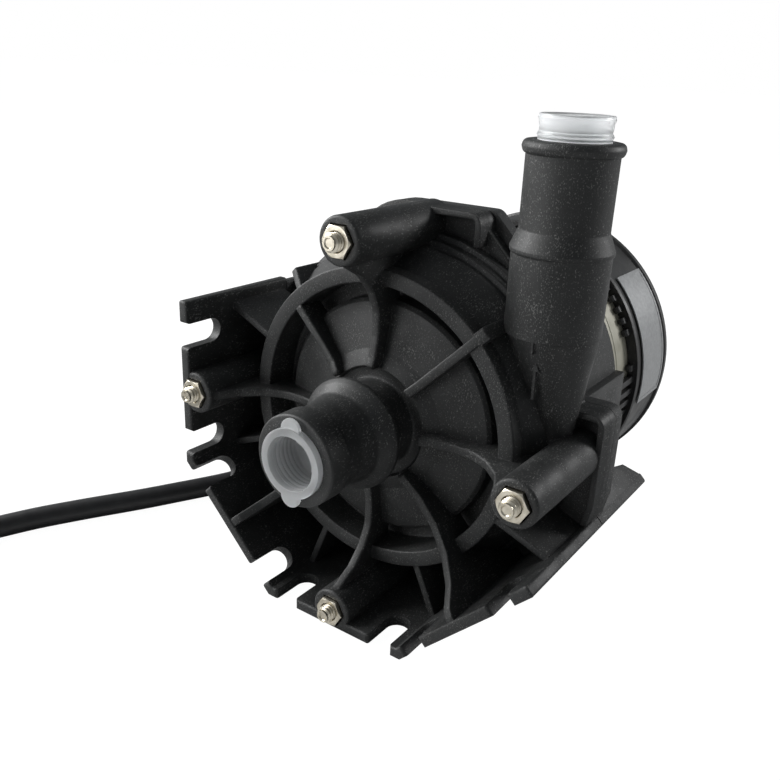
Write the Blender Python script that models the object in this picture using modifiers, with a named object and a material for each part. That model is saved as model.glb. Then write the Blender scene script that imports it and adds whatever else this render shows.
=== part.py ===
"""Circulator pump: end suction volute casing on a half octagon foot trough, wet spherical motor behind it.

Metres, +Z up. X runs across the pump, Y back along the pump axis, and Z = 0 is the foot's underside.
Depths along the pump axis are counted from the front edge of the feet.
"""
import math

import bmesh
import bpy
from mathutils import Matrix, Vector

# Play between pieces that touch
GAP = 0.0003

# Foot trough: four sides of an octagon round the pump axis
FOOT_APOTHEM = 0.060
FOOT_WALL = 0.0033
FOOT_END = 0.0282
FOOT_SIDES = (180, 225, 270, 315)
GUSSET_ANGLES = (157.5, 202.5, 247.5, 292.5, 337.5)
GUSSET_WALL = 0.0022
SLOT_WIDTH = 0.0075
SLOT_PITCH = 0.0350
SLOT_DEPTH = 0.0136
ORIGIN_DEPTH = 0.030

AXIS_Z = FOOT_APOTHEM
FOOT_INSIDE = FOOT_APOTHEM - FOOT_WALL

# Depths of the main planes
RING_FRONT = 0.0181
FLANGE_WALL = 0.0035
SPLIT = 0.0443
BRACKET_WALL = 0.0050
BRACKET_CHORD = 0.0562
BRACKET_WAIST = 0.0470
LUG_SIDE = 0.0483
LUG_TOP = 0.0090
LUG_END = 0.0100
BRACKET_FOOT_LENGTH = 0.0355
BRACKET_LEFT_END = 0.0270
CAN_LENGTH = 0.0580
COVER_RIM = 0.1005
COVER_LENGTH = 0.0310

# Casing bolts
BOSS_RADIUS = 0.0065
BOSS_INSET = 0.0055
BOSS_FRONT = 0.0002
BOSS_ANGLES = (0, 90, 180, 270)
BOSS_NAMES = ("right", "top", "left", "bottom")
BOLT_RADIUS = 0.0025
BOLT_PLAY = 0.0003
BOLT_STICK_OUT = 0.0047
BOLT_HEAD_RADIUS = 0.0038
BOLT_HEAD_HEIGHT = 0.0050
BOLT_SOCKET = 0.0040
NUT_FLATS = 0.0080
NUT_HEIGHT = 0.0040
NUT_PROUD = 0.0012
BOLT_FLANGE_RADIUS = 0.0043
BOLT_FLANGE_HEIGHT = 0.0012
SPOT_FACE = 0.0004
BOLT_CIRCLE = FOOT_APOTHEM - BOSS_INSET

# Inlet nozzle and the turned front of the casing
INLET_BORE = 0.0096
INLET_WALL = 0.0024
INLET_BEAD = 0.00075
INLET_BEAD_LENGTH = 0.0072
INLET_LENGTH = 0.0160
COLLAR_RADIUS = 0.0161
COLLAR_DEPTH = 0.0076
HUB_NECK = 0.0128
HUB_NECK_DEPTH = 0.0098
FACE_INNER = 0.0165
FACE_OUTER = 0.0345
FACE_DEPTH_INNER = 0.0200
FACE_DEPTH_OUTER = 0.0235
GROOVE_DEPTH = 0.0290
RING_INNER = 0.0403
RING_OUTER = 0.0450
SHOULDER_RADIUS = 0.0500
SHOULDER_STEP = 0.0016

# Ribs on the casing's front
RIB_WALL = 0.0026
RIB_FRONT = 0.0172
RIB_ANGLES = (0, 45, 90, 135, 180, 225, 270, 315)
ARM_ANGLES = (225, 315)

# Flange outline
FLANGE_CHORD = 0.0530
EAR_TOP = 0.0600
EAR_TOP_END = 0.0200
EAR_SIDE = 0.0615
EAR_SIDE_END = 0.0140
EAR_SIDE_TOP = 0.0125
EAR_SIDE_IN = 0.0520
EAR_SWEEP = 0.0180
EAR_RIM_WALL = 0.0018
EAR_RIM_HEIGHT = 0.0048
EAR_CORNER = 0.0035

# Outlet pipe, which stands up at the right
OUTLET_X = 0.0446
OUTLET_DEPTH = 0.0340
OUTLET_BORE = 0.0093
OUTLET_WALL = 0.0022
OUTLET_TOP = 0.0808
OUTLET_BEAD = 0.0010
OUTLET_BEAD_HEIGHT = 0.0032
STOP_COLLAR = 0.0132
STOP_COLLAR_TOP = 0.0590
STOP_COLLAR_HEIGHT = 0.0040
LOWER_PIPE = 0.0127
DIFFUSER_TOP = 0.0340
DIFFUSER_TIP_X = 0.0492
DIFFUSER_TIP_Z = 0.0045
DIFFUSER_TIP_RADIUS = 0.0042

# Wet side: volute chamber, seal and separation shell
CHAMBER_RADIUS = 0.0420
CHAMBER_FLOOR = 0.0030
SEAL_CIRCLE = 0.0450
SEAL_SECTION = 0.0013
SHELL_WALL = 0.0008
SHELL_DOME = 0.0255
SHELL_FLANGE = 0.0480
SHELL_DOME_CENTRE = 0.0530
ROTOR_PLAY = 0.0010
POST_RADIUS = 0.0016
BALL_RADIUS = 0.0035
BALL_DEPTH = 0.0550
CUP_WALL = 0.0030

# Impeller
IMPELLER_RADIUS = 0.0320
IMPELLER_EYE = 0.0098
IMPELLER_SHROUD = 0.0015
IMPELLER_FRONT = 0.0282
IMPELLER_BACK = 0.0415
IMPELLER_DISC = 0.0030
VANE_COUNT = 7
VANE_WALL = 0.0016
VANE_SWEEP = 75

# Motor
CAN_RADIUS = 0.0445
SKIRT_RADIUS = 0.0465
SKIRT_BACK = 0.0850
END_WALL_ROOT = 0.0366
CAN_WALL = 0.0008
SPIGOT_WALL = 0.0018
SPIGOT_LENGTH = 0.0050
CORE_LENGTH = 0.0240
CORE_YOKE = 0.0068
TOOTH_COUNT = 6
TOOTH_WIDTH = 0.0090
COIL_WALL = 0.0036
COIL_OVERHANG = 0.0030
BOARD_DEPTH = 0.0920
BOARD_WALL = 0.0016
CAPACITOR_RADIUS = 0.0080
CAPACITOR_HEIGHT = 0.0180
CAPACITOR_OFFSET = 0.0200
COVER_RADIUS = 0.0480
COVER_WALL = 0.0024
COVER_FILLET = 0.0050
VENT_COUNT = 60
VENT_FIN = 0.0024
FIN_SHORT = 0.0055
FIN_LONG = 0.0125
FIN_LONG_BELOW = 6
SCREW_CIRCLE = 0.0398
SCREW_RADIUS = 0.0015
SCREW_HEAD = 0.0030
SCREW_HEAD_HEIGHT = 0.0020
SCREW_ANGLES = (30, 150, 270)
LABEL_FROM = -9
LABEL_TO = 44
LABEL_WALL = 0.0004
LABEL_WIDTH = 0.0203
LABEL_MARGIN = 0.0055

# Transport plugs
PLUG_PLAY = 0.0003
PLUG_WALL = 0.0014
PLUG_RIM_HEIGHT = 0.0016
PLUG_DEPTH = 0.0105
PLUG_TAB = 0.0032
OUTLET_PLUG_STAND = 0.0060
OUTLET_PLUG_RIM_HEIGHT = 0.0052

# Cord and its fittings
CORD_RADIUS = 0.00375
LEAD_ALLOWANCE = 0.0004
GLAND_ANGLE = 215
GLAND_DEPTH = 0.1170
GLAND_PAD = 0.0080
GLAND_PAD_REACH = 0.0492
GLAND_NUT_RADIUS = 0.0078
GLAND_NUT_HEIGHT = 0.0070
GLAND_TAIL = 0.0230
GLAND_TAIL_END = 0.0052
COIL_X = -0.1680
COIL_DEPTH = -0.0625
COIL_MEAN = 0.0340
COIL_SECTION = 0.0078
COIL_LIFT = 0.0016
TIE_WALL = 0.0010
TIE_WIDTH = 0.0050
TIE_ANGLE = 300
CONNECTOR_LENGTH = 0.0260
CONNECTOR_WIDTH = 0.0200
CONNECTOR_HEIGHT = 0.0110
PIN_RADIUS = 0.0011
PIN_LENGTH = 0.0080
PIN_PITCH = 0.0055

# Lead route as chosen by hand: x, depth and height of each point, from the gland's mouth to the coil
CORD_ROUTE = (
    (-0.0606, 0.1170, 0.0176), (-0.0664, 0.1166, 0.0135), (-0.0717, 0.1145, 0.0095), (-0.0762, 0.1100, 0.0063),
    (-0.0790, 0.1035, 0.0045), (-0.0803, 0.0955, 0.0039), (-0.0800, 0.0860, 0.0038), (-0.0792, 0.0740, 0.0038),
    (-0.0793, 0.0620, 0.0038), (-0.0808, 0.0500, 0.0038), (-0.0840, 0.0400, 0.0038), (-0.0877, 0.0315, 0.0038),
    (-0.0918, 0.0230, 0.0038), (-0.0964, 0.0135, 0.0038), (-0.1009, 0.0050, 0.0038), (-0.1053, -0.0030, 0.0038),
    (-0.1100, -0.0120, 0.0038), (-0.1146, -0.0215, 0.0038), (-0.1185, -0.0315, 0.0038), (-0.1216, -0.0393, 0.0038),
    (-0.1264, -0.0507, 0.0038),
)
# Short tail from the coil to the connector
TAIL_ROUTE = (
    (-0.2054, -0.0391, 0.0062), (-0.2026, -0.0336, 0.0050), (-0.2010, -0.0271, 0.0044), (-0.2005, -0.0216, 0.0043),
)

TURN_STEPS = 32
SMALL_STEPS = 16


def depth_y(depth):
    """World Y of a depth behind the feet's front edge."""
    return depth - ORIGIN_DEPTH


def clear_scene():
    for item in list(bpy.data.objects):
        bpy.data.objects.remove(item, do_unlink=True)


def new_collection(name):
    made = bpy.data.collections.new(name)
    bpy.context.scene.collection.children.link(made)
    return made


def material(name, colour, roughness, metallic=0.0, alpha=1.0):
    made = bpy.data.materials.new(name)
    made.use_nodes = True
    shader = made.node_tree.nodes["Principled BSDF"]
    shader.inputs["Base Color"].default_value = (*colour, 1.0)
    shader.inputs["Roughness"].default_value = roughness
    shader.inputs["Metallic"].default_value = metallic
    shader.inputs["Alpha"].default_value = alpha
    made.diffuse_color = (*colour, alpha)
    return made


def put(name, mesh, matrix=None):
    """A mesh as an object in the part's collection."""
    made = bpy.data.objects.new(name, mesh)
    PARTS.objects.link(made)
    if matrix is not None:
        made.matrix_world = matrix
    return made


def baked(item):
    """The object's evaluated shape as a plain mesh with its seams welded, in place of its modifiers or curve."""
    bpy.context.view_layer.update()
    shape = bpy.data.meshes.new_from_object(item.evaluated_get(bpy.context.evaluated_depsgraph_get()))
    work = bmesh.new()
    work.from_mesh(shape)
    bmesh.ops.remove_doubles(work, verts=work.verts, dist=0.000004)
    bmesh.ops.dissolve_degenerate(work, edges=work.edges, dist=0.000004)
    work.to_mesh(shape)
    work.free()
    matrix = item.matrix_world.copy()
    name = item.name
    bpy.data.objects.remove(item, do_unlink=True)
    made = put(name, shape, matrix)
    made.name = name
    return made


def combined(item, others, operation):
    """One Boolean of an object with a whole group of others, which are used up."""
    group = bpy.data.collections.new("operands")
    bpy.context.scene.collection.children.link(group)
    for other in others:
        PARTS.objects.unlink(other)
        group.objects.link(other)
        other.hide_render = True
        other.display_type = "WIRE"
    step = item.modifiers.new("combine", "BOOLEAN")
    step.operation = operation
    step.operand_type = "COLLECTION"
    step.collection = group
    step.solver = "EXACT"
    made = baked(item)
    for other in others:
        bpy.data.objects.remove(other, do_unlink=True)
    bpy.data.collections.remove(group)
    return made


def joined(item, others):
    return combined(item, others, "UNION")


def cut(item, others):
    return combined(item, others, "DIFFERENCE")


def arc(centre_r, centre_d, radius, start, end, steps):
    """Points of an arc in a profile; the angles are in degrees from +r towards +depth."""
    points = []
    for i in range(steps + 1):
        angle = math.radians(start + (end - start) * i / steps)
        points.append((centre_r + radius * math.cos(angle), centre_d + radius * math.sin(angle)))
    return points


def rounded(corners):
    """An outline from (x, y, fillet radius) corners."""
    points = []
    count = len(corners)
    for i, (x, y, radius) in enumerate(corners):
        here = Vector((x, y))
        if radius <= 0:
            points.append((x, y))
            continue
        before = (Vector(corners[i - 1][:2]) - here).normalized()
        after = (Vector(corners[(i + 1) % count][:2]) - here).normalized()
        half = before.angle(after) / 2
        reach = radius / math.tan(half)
        centre = here + (before + after).normalized() * radius / math.sin(half)
        start = here + before * reach - centre
        end = here + after * reach - centre
        turn = math.atan2(start.x * end.y - start.y * end.x, start.dot(end))
        for k in range(4):
            angle = turn * k / 3
            points.append((
                centre.x + start.x * math.cos(angle) - start.y * math.sin(angle),
                centre.y + start.x * math.sin(angle) + start.y * math.cos(angle),
            ))
    return points


AXIS_FRAME = Matrix.Translation((0, 0, AXIS_Z)) @ Matrix.Rotation(math.pi / 2, 4, "X")


def turned(name, profile, closed=False, steps=TURN_STEPS, matrix=None):
    """A turned shape. The profile holds (radius, height) points down its outer side, top to bottom."""
    shape = bpy.data.meshes.new(name)
    points = [(r, 0, h) for r, h in profile]
    edges = [(i, i + 1) for i in range(len(points) - 1)]
    if closed:
        edges.append((len(points) - 1, 0))
    shape.from_pydata(points, edges, [])
    made = put(name, shape, matrix)
    screw = made.modifiers.new("turn", "SCREW")
    screw.axis = "Z"
    screw.angle = 2 * math.pi
    screw.steps = steps
    screw.render_steps = steps
    screw.use_merge_vertices = True
    screw.merge_threshold = 0.00001
    screw.use_smooth_shade = True
    return baked(made)


def turned_on_axis(name, profile, closed=False, steps=TURN_STEPS):
    """A turned shape on the pump axis, from (radius, depth) points that run front to back."""
    return turned(name, [(r, -depth_y(d)) for r, d in profile], closed, steps, AXIS_FRAME)


def turned_upright(name, profile, x, depth, closed=False, steps=TURN_STEPS):
    """A turned shape on an upright axis, from (radius, height over the pump axis) points, top to bottom."""
    place = Matrix.Translation((x, depth_y(depth), AXIS_Z))
    return turned(name, profile, closed, steps, place)


def extruded(name, outline, thickness, matrix, holes=()):
    """A flat outline given a thickness, half to each side of its plane."""
    curve = bpy.data.curves.new(name, "CURVE")
    curve.dimensions = "2D"
    curve.fill_mode = "BOTH"
    curve.extrude = thickness / 2
    for loop in (outline, *holes):
        spline = curve.splines.new("POLY")
        spline.points.add(len(loop) - 1)
        for point, (x, y) in zip(spline.points, loop):
            point.co = (x, y, 0, 1)
        spline.use_cyclic_u = True
    made = baked(put(name, curve, matrix))
    work = bmesh.new()
    work.from_mesh(made.data)
    bmesh.ops.recalc_face_normals(work, faces=work.faces)
    work.to_mesh(made.data)
    work.free()
    return made


def radial_frame(angle, offset=0.0):
    """Local X runs out from the pump axis at this angle, local Y runs back, local Z across."""
    turn = math.radians(angle)
    out = Vector((math.cos(turn), 0, math.sin(turn)))
    across = Vector((-math.sin(turn), 0, math.cos(turn)))
    frame = Matrix((out, (0, 1, 0), across)).transposed().to_4x4()
    frame.translation = Vector((0, depth_y(0), AXIS_Z)) + across * offset
    return frame


def face_frame(depth):
    """Local X and Y are world X and Z on the pump axis, and local Z comes forward."""
    frame = Matrix(((1, 0, 0), (0, 0, 1), (0, -1, 0))).transposed().to_4x4()
    frame.translation = Vector((0, depth_y(depth), AXIS_Z))
    return frame


def slab(name, outline, front, back, holes=()):
    """An outline in the X Z plane about the pump axis, between two depths."""
    return extruded(name, outline, back - front, face_frame((front + back) / 2), holes)


def on_axis(angle, radius):
    turn = math.radians(angle)
    return radius * math.cos(turn), radius * math.sin(turn)


def rod(name, x, z, radius, front, back, steps=SMALL_STEPS, edge=0.0):
    """A cylinder parallel to the pump axis, with its front edge broken by a small chamfer."""
    profile = [(0, front), (radius - edge, front), (radius, front + edge), (radius, back), (0, back)]
    if edge == 0.0:
        profile.pop(1)
    frame = Matrix.Translation((x, 0, z)) @ AXIS_FRAME
    return turned(name, [(r, -depth_y(d)) for r, d in profile], False, steps, frame)


def block(name, size, matrix):
    """A box of this size about the matrix's origin."""
    work = bmesh.new()
    bmesh.ops.create_cube(work, size=1.0)
    bmesh.ops.scale(work, vec=size, verts=work.verts)
    shape = bpy.data.meshes.new(name)
    work.to_mesh(shape)
    work.free()
    return put(name, shape, matrix)


def smooth(item, angle=35):
    item.data.shade_smooth()
    item.data.set_sharp_from_angle(angle=math.radians(angle))


def finish(item, look):
    item.data.materials.clear()
    item.data.materials.append(look)
    smooth(item)
    return item


def trough_outline(outside, inside, left_end, right_end):
    """Section of the foot trough, which starts at the left side's free end and goes round the outside."""
    def corner(apothem, angle):
        return on_axis(angle, apothem / math.cos(math.pi / 8))

    def end(apothem, side, along):
        x, z = on_axis(side, apothem)
        turn = math.radians(side)
        return x - along * math.sin(turn), z + along * math.cos(turn)

    corners = (202.5, 247.5, 292.5)
    outer = [end(outside, 180, -left_end)]
    outer += [corner(outside, a) for a in corners]
    outer.append(end(outside, 315, right_end))
    inner = [end(inside, 315, right_end)]
    inner += [corner(inside, a) for a in reversed(corners)]
    inner.append(end(inside, 180, -left_end))
    return outer + inner


def half_space(name, front, back):
    """A block wider than the whole pump between two depths."""
    side = FOOT_APOTHEM * 4
    return block(name, (side, back - front, side), Matrix.Translation((0, depth_y((front + back) / 2), AXIS_Z)))


def foot_slots():
    """The eight open slots in the front edge of the feet."""
    slots = []
    reach = FOOT_WALL * 4
    for side in FOOT_SIDES:
        for sign in (-1, 1):
            frame = radial_frame(side, sign * SLOT_PITCH / 2)
            x = FOOT_APOTHEM - FOOT_WALL / 2
            end = SLOT_DEPTH - SLOT_WIDTH / 2
            outline = [(-SLOT_WIDTH / 2, -0.01), (SLOT_WIDTH / 2, -0.01)]
            outline += arc(0, end, SLOT_WIDTH / 2, 0, 180, 6)
            turn = Matrix(((0, 0, 1), (0, 1, 0), (-1, 0, 0))).to_4x4()
            place = frame @ Matrix.Translation((x, 0, 0)) @ turn
            slots.append(extruded("slot", outline, reach, place))
    return slots


def casing_turning():
    """The casing's turned body: nozzle, collar, face, ring and stepped shoulder, front to back."""
    tube = INLET_BORE + INLET_WALL
    bead = tube + INLET_BEAD
    edge = 0.0008
    tip = -INLET_LENGTH
    profile = [(0, tip), (bead - edge, tip)]
    profile += [(bead, tip + edge), (bead, tip + INLET_BEAD_LENGTH)]
    profile += [(tube, tip + INLET_BEAD_LENGTH + edge), (tube, -0.0010), (tube + 0.0006, 0.0022)]
    profile += [(tube + 0.0020, 0.0045), (COLLAR_RADIUS - 0.0005, COLLAR_DEPTH - 0.0012)]
    profile += [(COLLAR_RADIUS, COLLAR_DEPTH), (COLLAR_RADIUS - 0.0005, COLLAR_DEPTH + 0.0009)]
    profile += [(HUB_NECK, HUB_NECK_DEPTH), (HUB_NECK, FACE_DEPTH_INNER)]
    profile += [(FACE_INNER, FACE_DEPTH_INNER), (FACE_OUTER, FACE_DEPTH_OUTER)]
    profile += [(FACE_OUTER + 0.0008, FACE_DEPTH_OUTER + 0.0008), (FACE_OUTER + 0.0008, GROOVE_DEPTH)]
    profile += [(RING_INNER, GROOVE_DEPTH), (RING_INNER, RING_FRONT + 0.0004), (RING_INNER + 0.0004, RING_FRONT)]
    profile += [(RING_OUTER - 0.0004, RING_FRONT), (RING_OUTER, RING_FRONT + 0.0004)]
    step = SHOULDER_STEP
    profile += [(RING_OUTER, RING_FRONT + 0.0050), (SHOULDER_RADIUS, GROOVE_DEPTH + 0.0025)]
    radius = SHOULDER_RADIUS
    depth = GROOVE_DEPTH + 0.0050
    for _ in range(2):
        profile += [(radius, depth), (radius + step, depth + 0.0004)]
        radius += step
        depth += 0.0030
    back = SPLIT + 0.0010
    profile += [(radius, back), (0, back)]
    return turned_on_axis("volute_casing", profile)


def rib_outline(kind):
    """A rib's side view as (radius, depth) points; its back is buried in the casing."""
    root = FACE_DEPTH_OUTER + 0.0030
    start = FACE_INNER + 0.0004
    flat = RIB_FRONT
    ridge = [(start, flat - 0.0022), (start + 0.0030, flat - 0.0010), (0.0260, flat - 0.0002)]
    if kind == "boss":
        reach = BOLT_CIRCLE - BOSS_RADIUS + 0.0006
        bend = [(reach - 0.0150, flat), (reach - 0.0105, flat - 0.0012), (reach - 0.0065, flat - 0.0046)]
        bend += [(reach - 0.0030, flat - 0.0092), (reach - 0.0008, flat - 0.0142), (reach, BOSS_FRONT + 0.0010)]
        return ridge + bend + [(reach + 0.0020, BOSS_FRONT + 0.0010), (reach + 0.0020, SPLIT - 0.0010)] + \
            [(RING_OUTER - 0.0010, SPLIT - 0.0010), (RING_OUTER - 0.0010, root), (start, root)]
    if kind == "arm":
        reach = FOOT_INSIDE + 0.0008
        bend = [(reach - 0.0240, flat - 0.0004), (reach - 0.0180, flat - 0.0022), (reach - 0.0125, flat - 0.0060)]
        bend += [(reach - 0.0075, flat - 0.0108), (reach - 0.0040, 0.0022), (reach - 0.0020, 0.0006)]
        return ridge + bend + [(reach, 0.0004), (reach, SPLIT - 0.0010), (RING_OUTER - 0.0010, SPLIT - 0.0010)] + \
            [(RING_OUTER - 0.0010, root), (start, root)]
    if kind == "outlet":
        reach = RING_OUTER + 0.0030
        return ridge + [(reach, flat), (reach, SPLIT - 0.0060), (RING_OUTER - 0.0010, SPLIT - 0.0060)] + \
            [(RING_OUTER - 0.0010, root), (start, root)]
    reach = FLANGE_CHORD - 0.0003
    return ridge + [(RING_INNER, flat), (RING_OUTER, flat + 0.0040), (reach, flat + 0.0080)] + \
        [(reach, SPLIT - 0.0010), (RING_OUTER - 0.0010, SPLIT - 0.0010), (RING_OUTER - 0.0010, root), (start, root)]


def casing_ribs():
    """Eight ribs, each flat on the face and bent to what it carries at its outer end."""
    ribs = []
    for angle in RIB_ANGLES:
        if angle in BOSS_ANGLES:
            kind = "boss"
        elif angle in ARM_ANGLES:
            kind = "arm"
        else:
            kind = "outlet" if angle == 45 else "corner"
        ribs.append(extruded("rib", rib_outline(kind), RIB_WALL, radial_frame(angle)))
    return ribs


def gussets(inner, front, back, angles, wall):
    """Radial webs to the trough's corners."""
    reach = FOOT_APOTHEM / math.cos(math.pi / 8) - FOOT_WALL / 2
    outline = [(inner, front), (reach, front + 0.0010), (reach, back), (inner, back)]
    return [extruded("gusset", outline, wall, radial_frame(angle)) for angle in angles]


def flange_outline(full):
    """The flange from the front: chords at the upper left and right, ears at the free bolts, down to the trough.

    The bracket's chord at the upper right lies further out than the casing's.
    """
    chord = FLANGE_CHORD * math.sqrt(2)
    mid = FOOT_INSIDE + FOOT_WALL / 2
    if full:
        beyond = BRACKET_CHORD * math.sqrt(2)
        ears = [(beyond - EAR_TOP, EAR_TOP, EAR_CORNER), (BRACKET_WAIST, beyond - BRACKET_WAIST, 0)]
        ears += [(BRACKET_WAIST, EAR_SIDE_TOP, 0), (EAR_SIDE, EAR_SIDE_TOP, EAR_CORNER)]
    else:
        ears = [(EAR_TOP_END, EAR_TOP, EAR_CORNER), (EAR_TOP_END, chord - EAR_TOP_END, 0)]
        ears += [(EAR_SIDE_IN, chord - EAR_SIDE_IN, 0), (EAR_SIDE_IN, EAR_SIDE_TOP, 0)]
        ears += [(EAR_SIDE, EAR_SIDE_TOP, EAR_CORNER)]
    outline = rounded([
        (-mid, chord - mid, 0),
        (EAR_TOP - chord, EAR_TOP, EAR_SWEEP),
        *ears,
        (EAR_SIDE, -EAR_SIDE_END, EAR_CORNER),
        (EAR_SIDE - 0.0015, -EAR_SIDE_END - 0.0070, 0),
    ])
    for angle in (337.5, 292.5, 247.5, 202.5):
        outline.append(on_axis(angle, mid / math.cos(math.pi / 8)))
    return outline


def ear_rims():
    """Raised walls along the edges of the two free ears, at the top and at the right."""
    wall = EAR_RIM_WALL
    front = SPLIT - FLANGE_WALL - EAR_RIM_HEIGHT
    back = SPLIT - FLANGE_WALL + 0.0005
    inset = 0.00008
    chord = FLANGE_CHORD * math.sqrt(2) - inset
    top = EAR_TOP - inset
    end = EAR_TOP_END - inset
    over = rounded([
        (0.0040, top, 0), (0.0040, top - wall, 0), (end - wall, top - wall, 0),
        (end - wall, chord - end + 0.0006, 0), (end, chord - end + 0.0006, 0), (end, top, EAR_CORNER),
    ])
    side = EAR_SIDE - inset
    low = -EAR_SIDE_END
    over_side = EAR_SIDE_TOP - inset
    beside = rounded([
        (EAR_SIDE_IN, over_side, 0), (EAR_SIDE_IN, over_side - wall, 0), (side - wall, over_side - wall, 0),
        (side - wall, low, 0), (side - wall - 0.0013, low - 0.0062, 0), (side - 0.0013, low - 0.0062, 0),
        (side, low, 0.002), (side, over_side, EAR_CORNER),
    ])
    return [slab("rim", over, front, back), slab("rim", beside, front, back)]


def outlet_pipe():
    """Outlet hose tail with its bead and stop collar, and the diffuser cone below it."""
    tail = OUTLET_BORE + OUTLET_WALL
    bead = tail + OUTLET_BEAD
    half = OUTLET_BEAD_HEIGHT / 2
    profile = [(0, OUTLET_TOP), (tail - 0.0008, OUTLET_TOP)]
    profile += arc(bead - half, OUTLET_TOP - half, half, 60, -60, 2)
    profile += [(tail, OUTLET_TOP - OUTLET_BEAD_HEIGHT - 0.0003), (tail, STOP_COLLAR_TOP + 0.0004)]
    profile += [(STOP_COLLAR, STOP_COLLAR_TOP - STOP_COLLAR_HEIGHT), (STOP_COLLAR, STOP_COLLAR_TOP - 0.0055)]
    profile += [(LOWER_PIPE, STOP_COLLAR_TOP - 0.0060), (LOWER_PIPE, DIFFUSER_TOP), (0, DIFFUSER_TOP)]
    pipe = turned_upright("pipe", profile, OUTLET_X, OUTLET_DEPTH, steps=28)
    return [pipe, diffuser("diffuser", LOWER_PIPE - 0.0001, DIFFUSER_TIP_RADIUS, 0.0006)]


def diffuser(name, top_radius, tip_radius, lift):
    """The cone between the throat and the pipe: the hull of a ball at the throat and a disc at the pipe."""
    work = bmesh.new()
    y = depth_y(OUTLET_DEPTH)
    tip = Matrix.Translation((DIFFUSER_TIP_X, y, AXIS_Z + DIFFUSER_TIP_Z + lift))
    bmesh.ops.create_uvsphere(work, u_segments=12, v_segments=6, radius=tip_radius, matrix=tip)
    top = Matrix.Translation((OUTLET_X, y, AXIS_Z + DIFFUSER_TOP + lift))
    bmesh.ops.create_circle(work, segments=28, radius=top_radius, cap_ends=False, matrix=top)
    bmesh.ops.delete(work, geom=work.edges[:], context="EDGES_FACES")
    made = bmesh.ops.convex_hull(work, input=work.verts)
    spare = {v for v in made["geom_interior"] + made["geom_unused"] if isinstance(v, bmesh.types.BMVert)}
    bmesh.ops.delete(work, geom=list(spare), context="VERTS")
    bmesh.ops.recalc_face_normals(work, faces=work.faces)
    shape = bpy.data.meshes.new(name)
    work.to_mesh(shape)
    work.free()
    return put(name, shape)


def flow_arrow():
    """Raised flow arrow on the diffuser's front, which points up to the outlet."""
    front = OUTLET_DEPTH - 0.0108
    outline = [(-0.0007, -0.0050), (0.0007, -0.0050), (0.0007, 0.0016), (0.0024, 0.0016), (0, 0.0052)]
    outline += [(-0.0024, 0.0016), (-0.0007, 0.0016)]
    lean = Matrix.Rotation(math.radians(14), 4, "X")
    place = face_frame(front) @ Matrix.Translation((0.0462, 0.0225, 0)) @ lean
    return extruded("arrow", outline, 0.0040, place)


def chamber_cutters():
    """Everything that is hollow in the casing: inlet, impeller chamber, volute channel, throat and outlet."""
    floor = CHAMBER_FLOOR
    back = SPLIT + 0.003
    chamber = [(0, FACE_DEPTH_INNER + floor), (FACE_INNER, FACE_DEPTH_INNER + floor)]
    chamber += [(FACE_OUTER - 0.0012, FACE_DEPTH_OUTER + floor), (FACE_OUTER - 0.0012, GROOVE_DEPTH + floor)]
    chamber += [(CHAMBER_RADIUS, GROOVE_DEPTH + floor), (CHAMBER_RADIUS, back), (0, back)]
    inlet = rod("inlet", 0, 0, INLET_BORE, -INLET_LENGTH - 0.002, FACE_DEPTH_INNER + floor + 0.002, 24)
    seal = SEAL_SECTION + GAP
    groove_front = SPLIT - 2 * SEAL_SECTION - 3 * GAP
    groove = [(SEAL_CIRCLE + seal, groove_front), (SEAL_CIRCLE + seal, back)]
    groove += [(SEAL_CIRCLE - seal, back), (SEAL_CIRCLE - seal, groove_front)]
    pipe = [(0, OUTLET_TOP + 0.002), (OUTLET_BORE, OUTLET_TOP + 0.002), (OUTLET_BORE, DIFFUSER_TOP)]
    pipe += [(0, DIFFUSER_TOP)]
    throat_radius = DIFFUSER_TIP_RADIUS - 0.0010
    throat = Matrix.Translation((0.0420, depth_y(OUTLET_DEPTH + 0.0030), AXIS_Z + 0.0095))
    return [
        turned_on_axis("chamber", chamber),
        inlet,
        turned_on_axis("groove", groove, closed=True),
        turned_upright("pipe_bore", pipe, OUTLET_X, OUTLET_DEPTH, steps=28),
        diffuser("cone_bore", OUTLET_BORE - 0.0001, throat_radius, 0.0010),
        block("throat", (0.0130, 0.0060, 0.0110), throat),
    ]


def nut_outline(flats):
    radius = flats / 2 / math.cos(math.pi / 6)
    return [(radius * math.cos(math.radians(a)), radius * math.sin(math.radians(a))) for a in range(0, 360, 60)]


def bolt_cutters(front, back, pockets):
    """Bolt holes through both flanges and, in the casing, the hexagonal nut pockets."""
    made = []
    for angle in BOSS_ANGLES:
        x, z = on_axis(angle, BOLT_CIRCLE)
        made.append(rod("hole", x, z, BOLT_RADIUS + BOLT_PLAY, front, back, 12))
        if pockets:
            floor = BOSS_FRONT - NUT_PROUD + NUT_HEIGHT + GAP
            outline = [(x + px, z + pz) for px, pz in nut_outline(NUT_FLATS + 2 * GAP)]
            made.append(slab("pocket", outline, front, floor))
    return made


def bolt_bosses():
    """The four bosses; the two that stand on a foot plate are flattened inside that plate."""
    made = []
    for angle in BOSS_ANGLES:
        x, z = on_axis(angle, BOLT_CIRCLE)
        boss = rod("boss", x, z, BOSS_RADIUS, BOSS_FRONT, SPLIT + 0.0016, 16, 0.0008)
        if angle in FOOT_SIDES:
            place = radial_frame(angle) @ Matrix.Translation((FOOT_APOTHEM - FOOT_WALL / 4 + 0.010, SPLIT / 2, 0))
            boss = cut(boss, [block("flat", (0.020, SPLIT * 2, 0.040), place)])
        made.append(boss)
    return made


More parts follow.
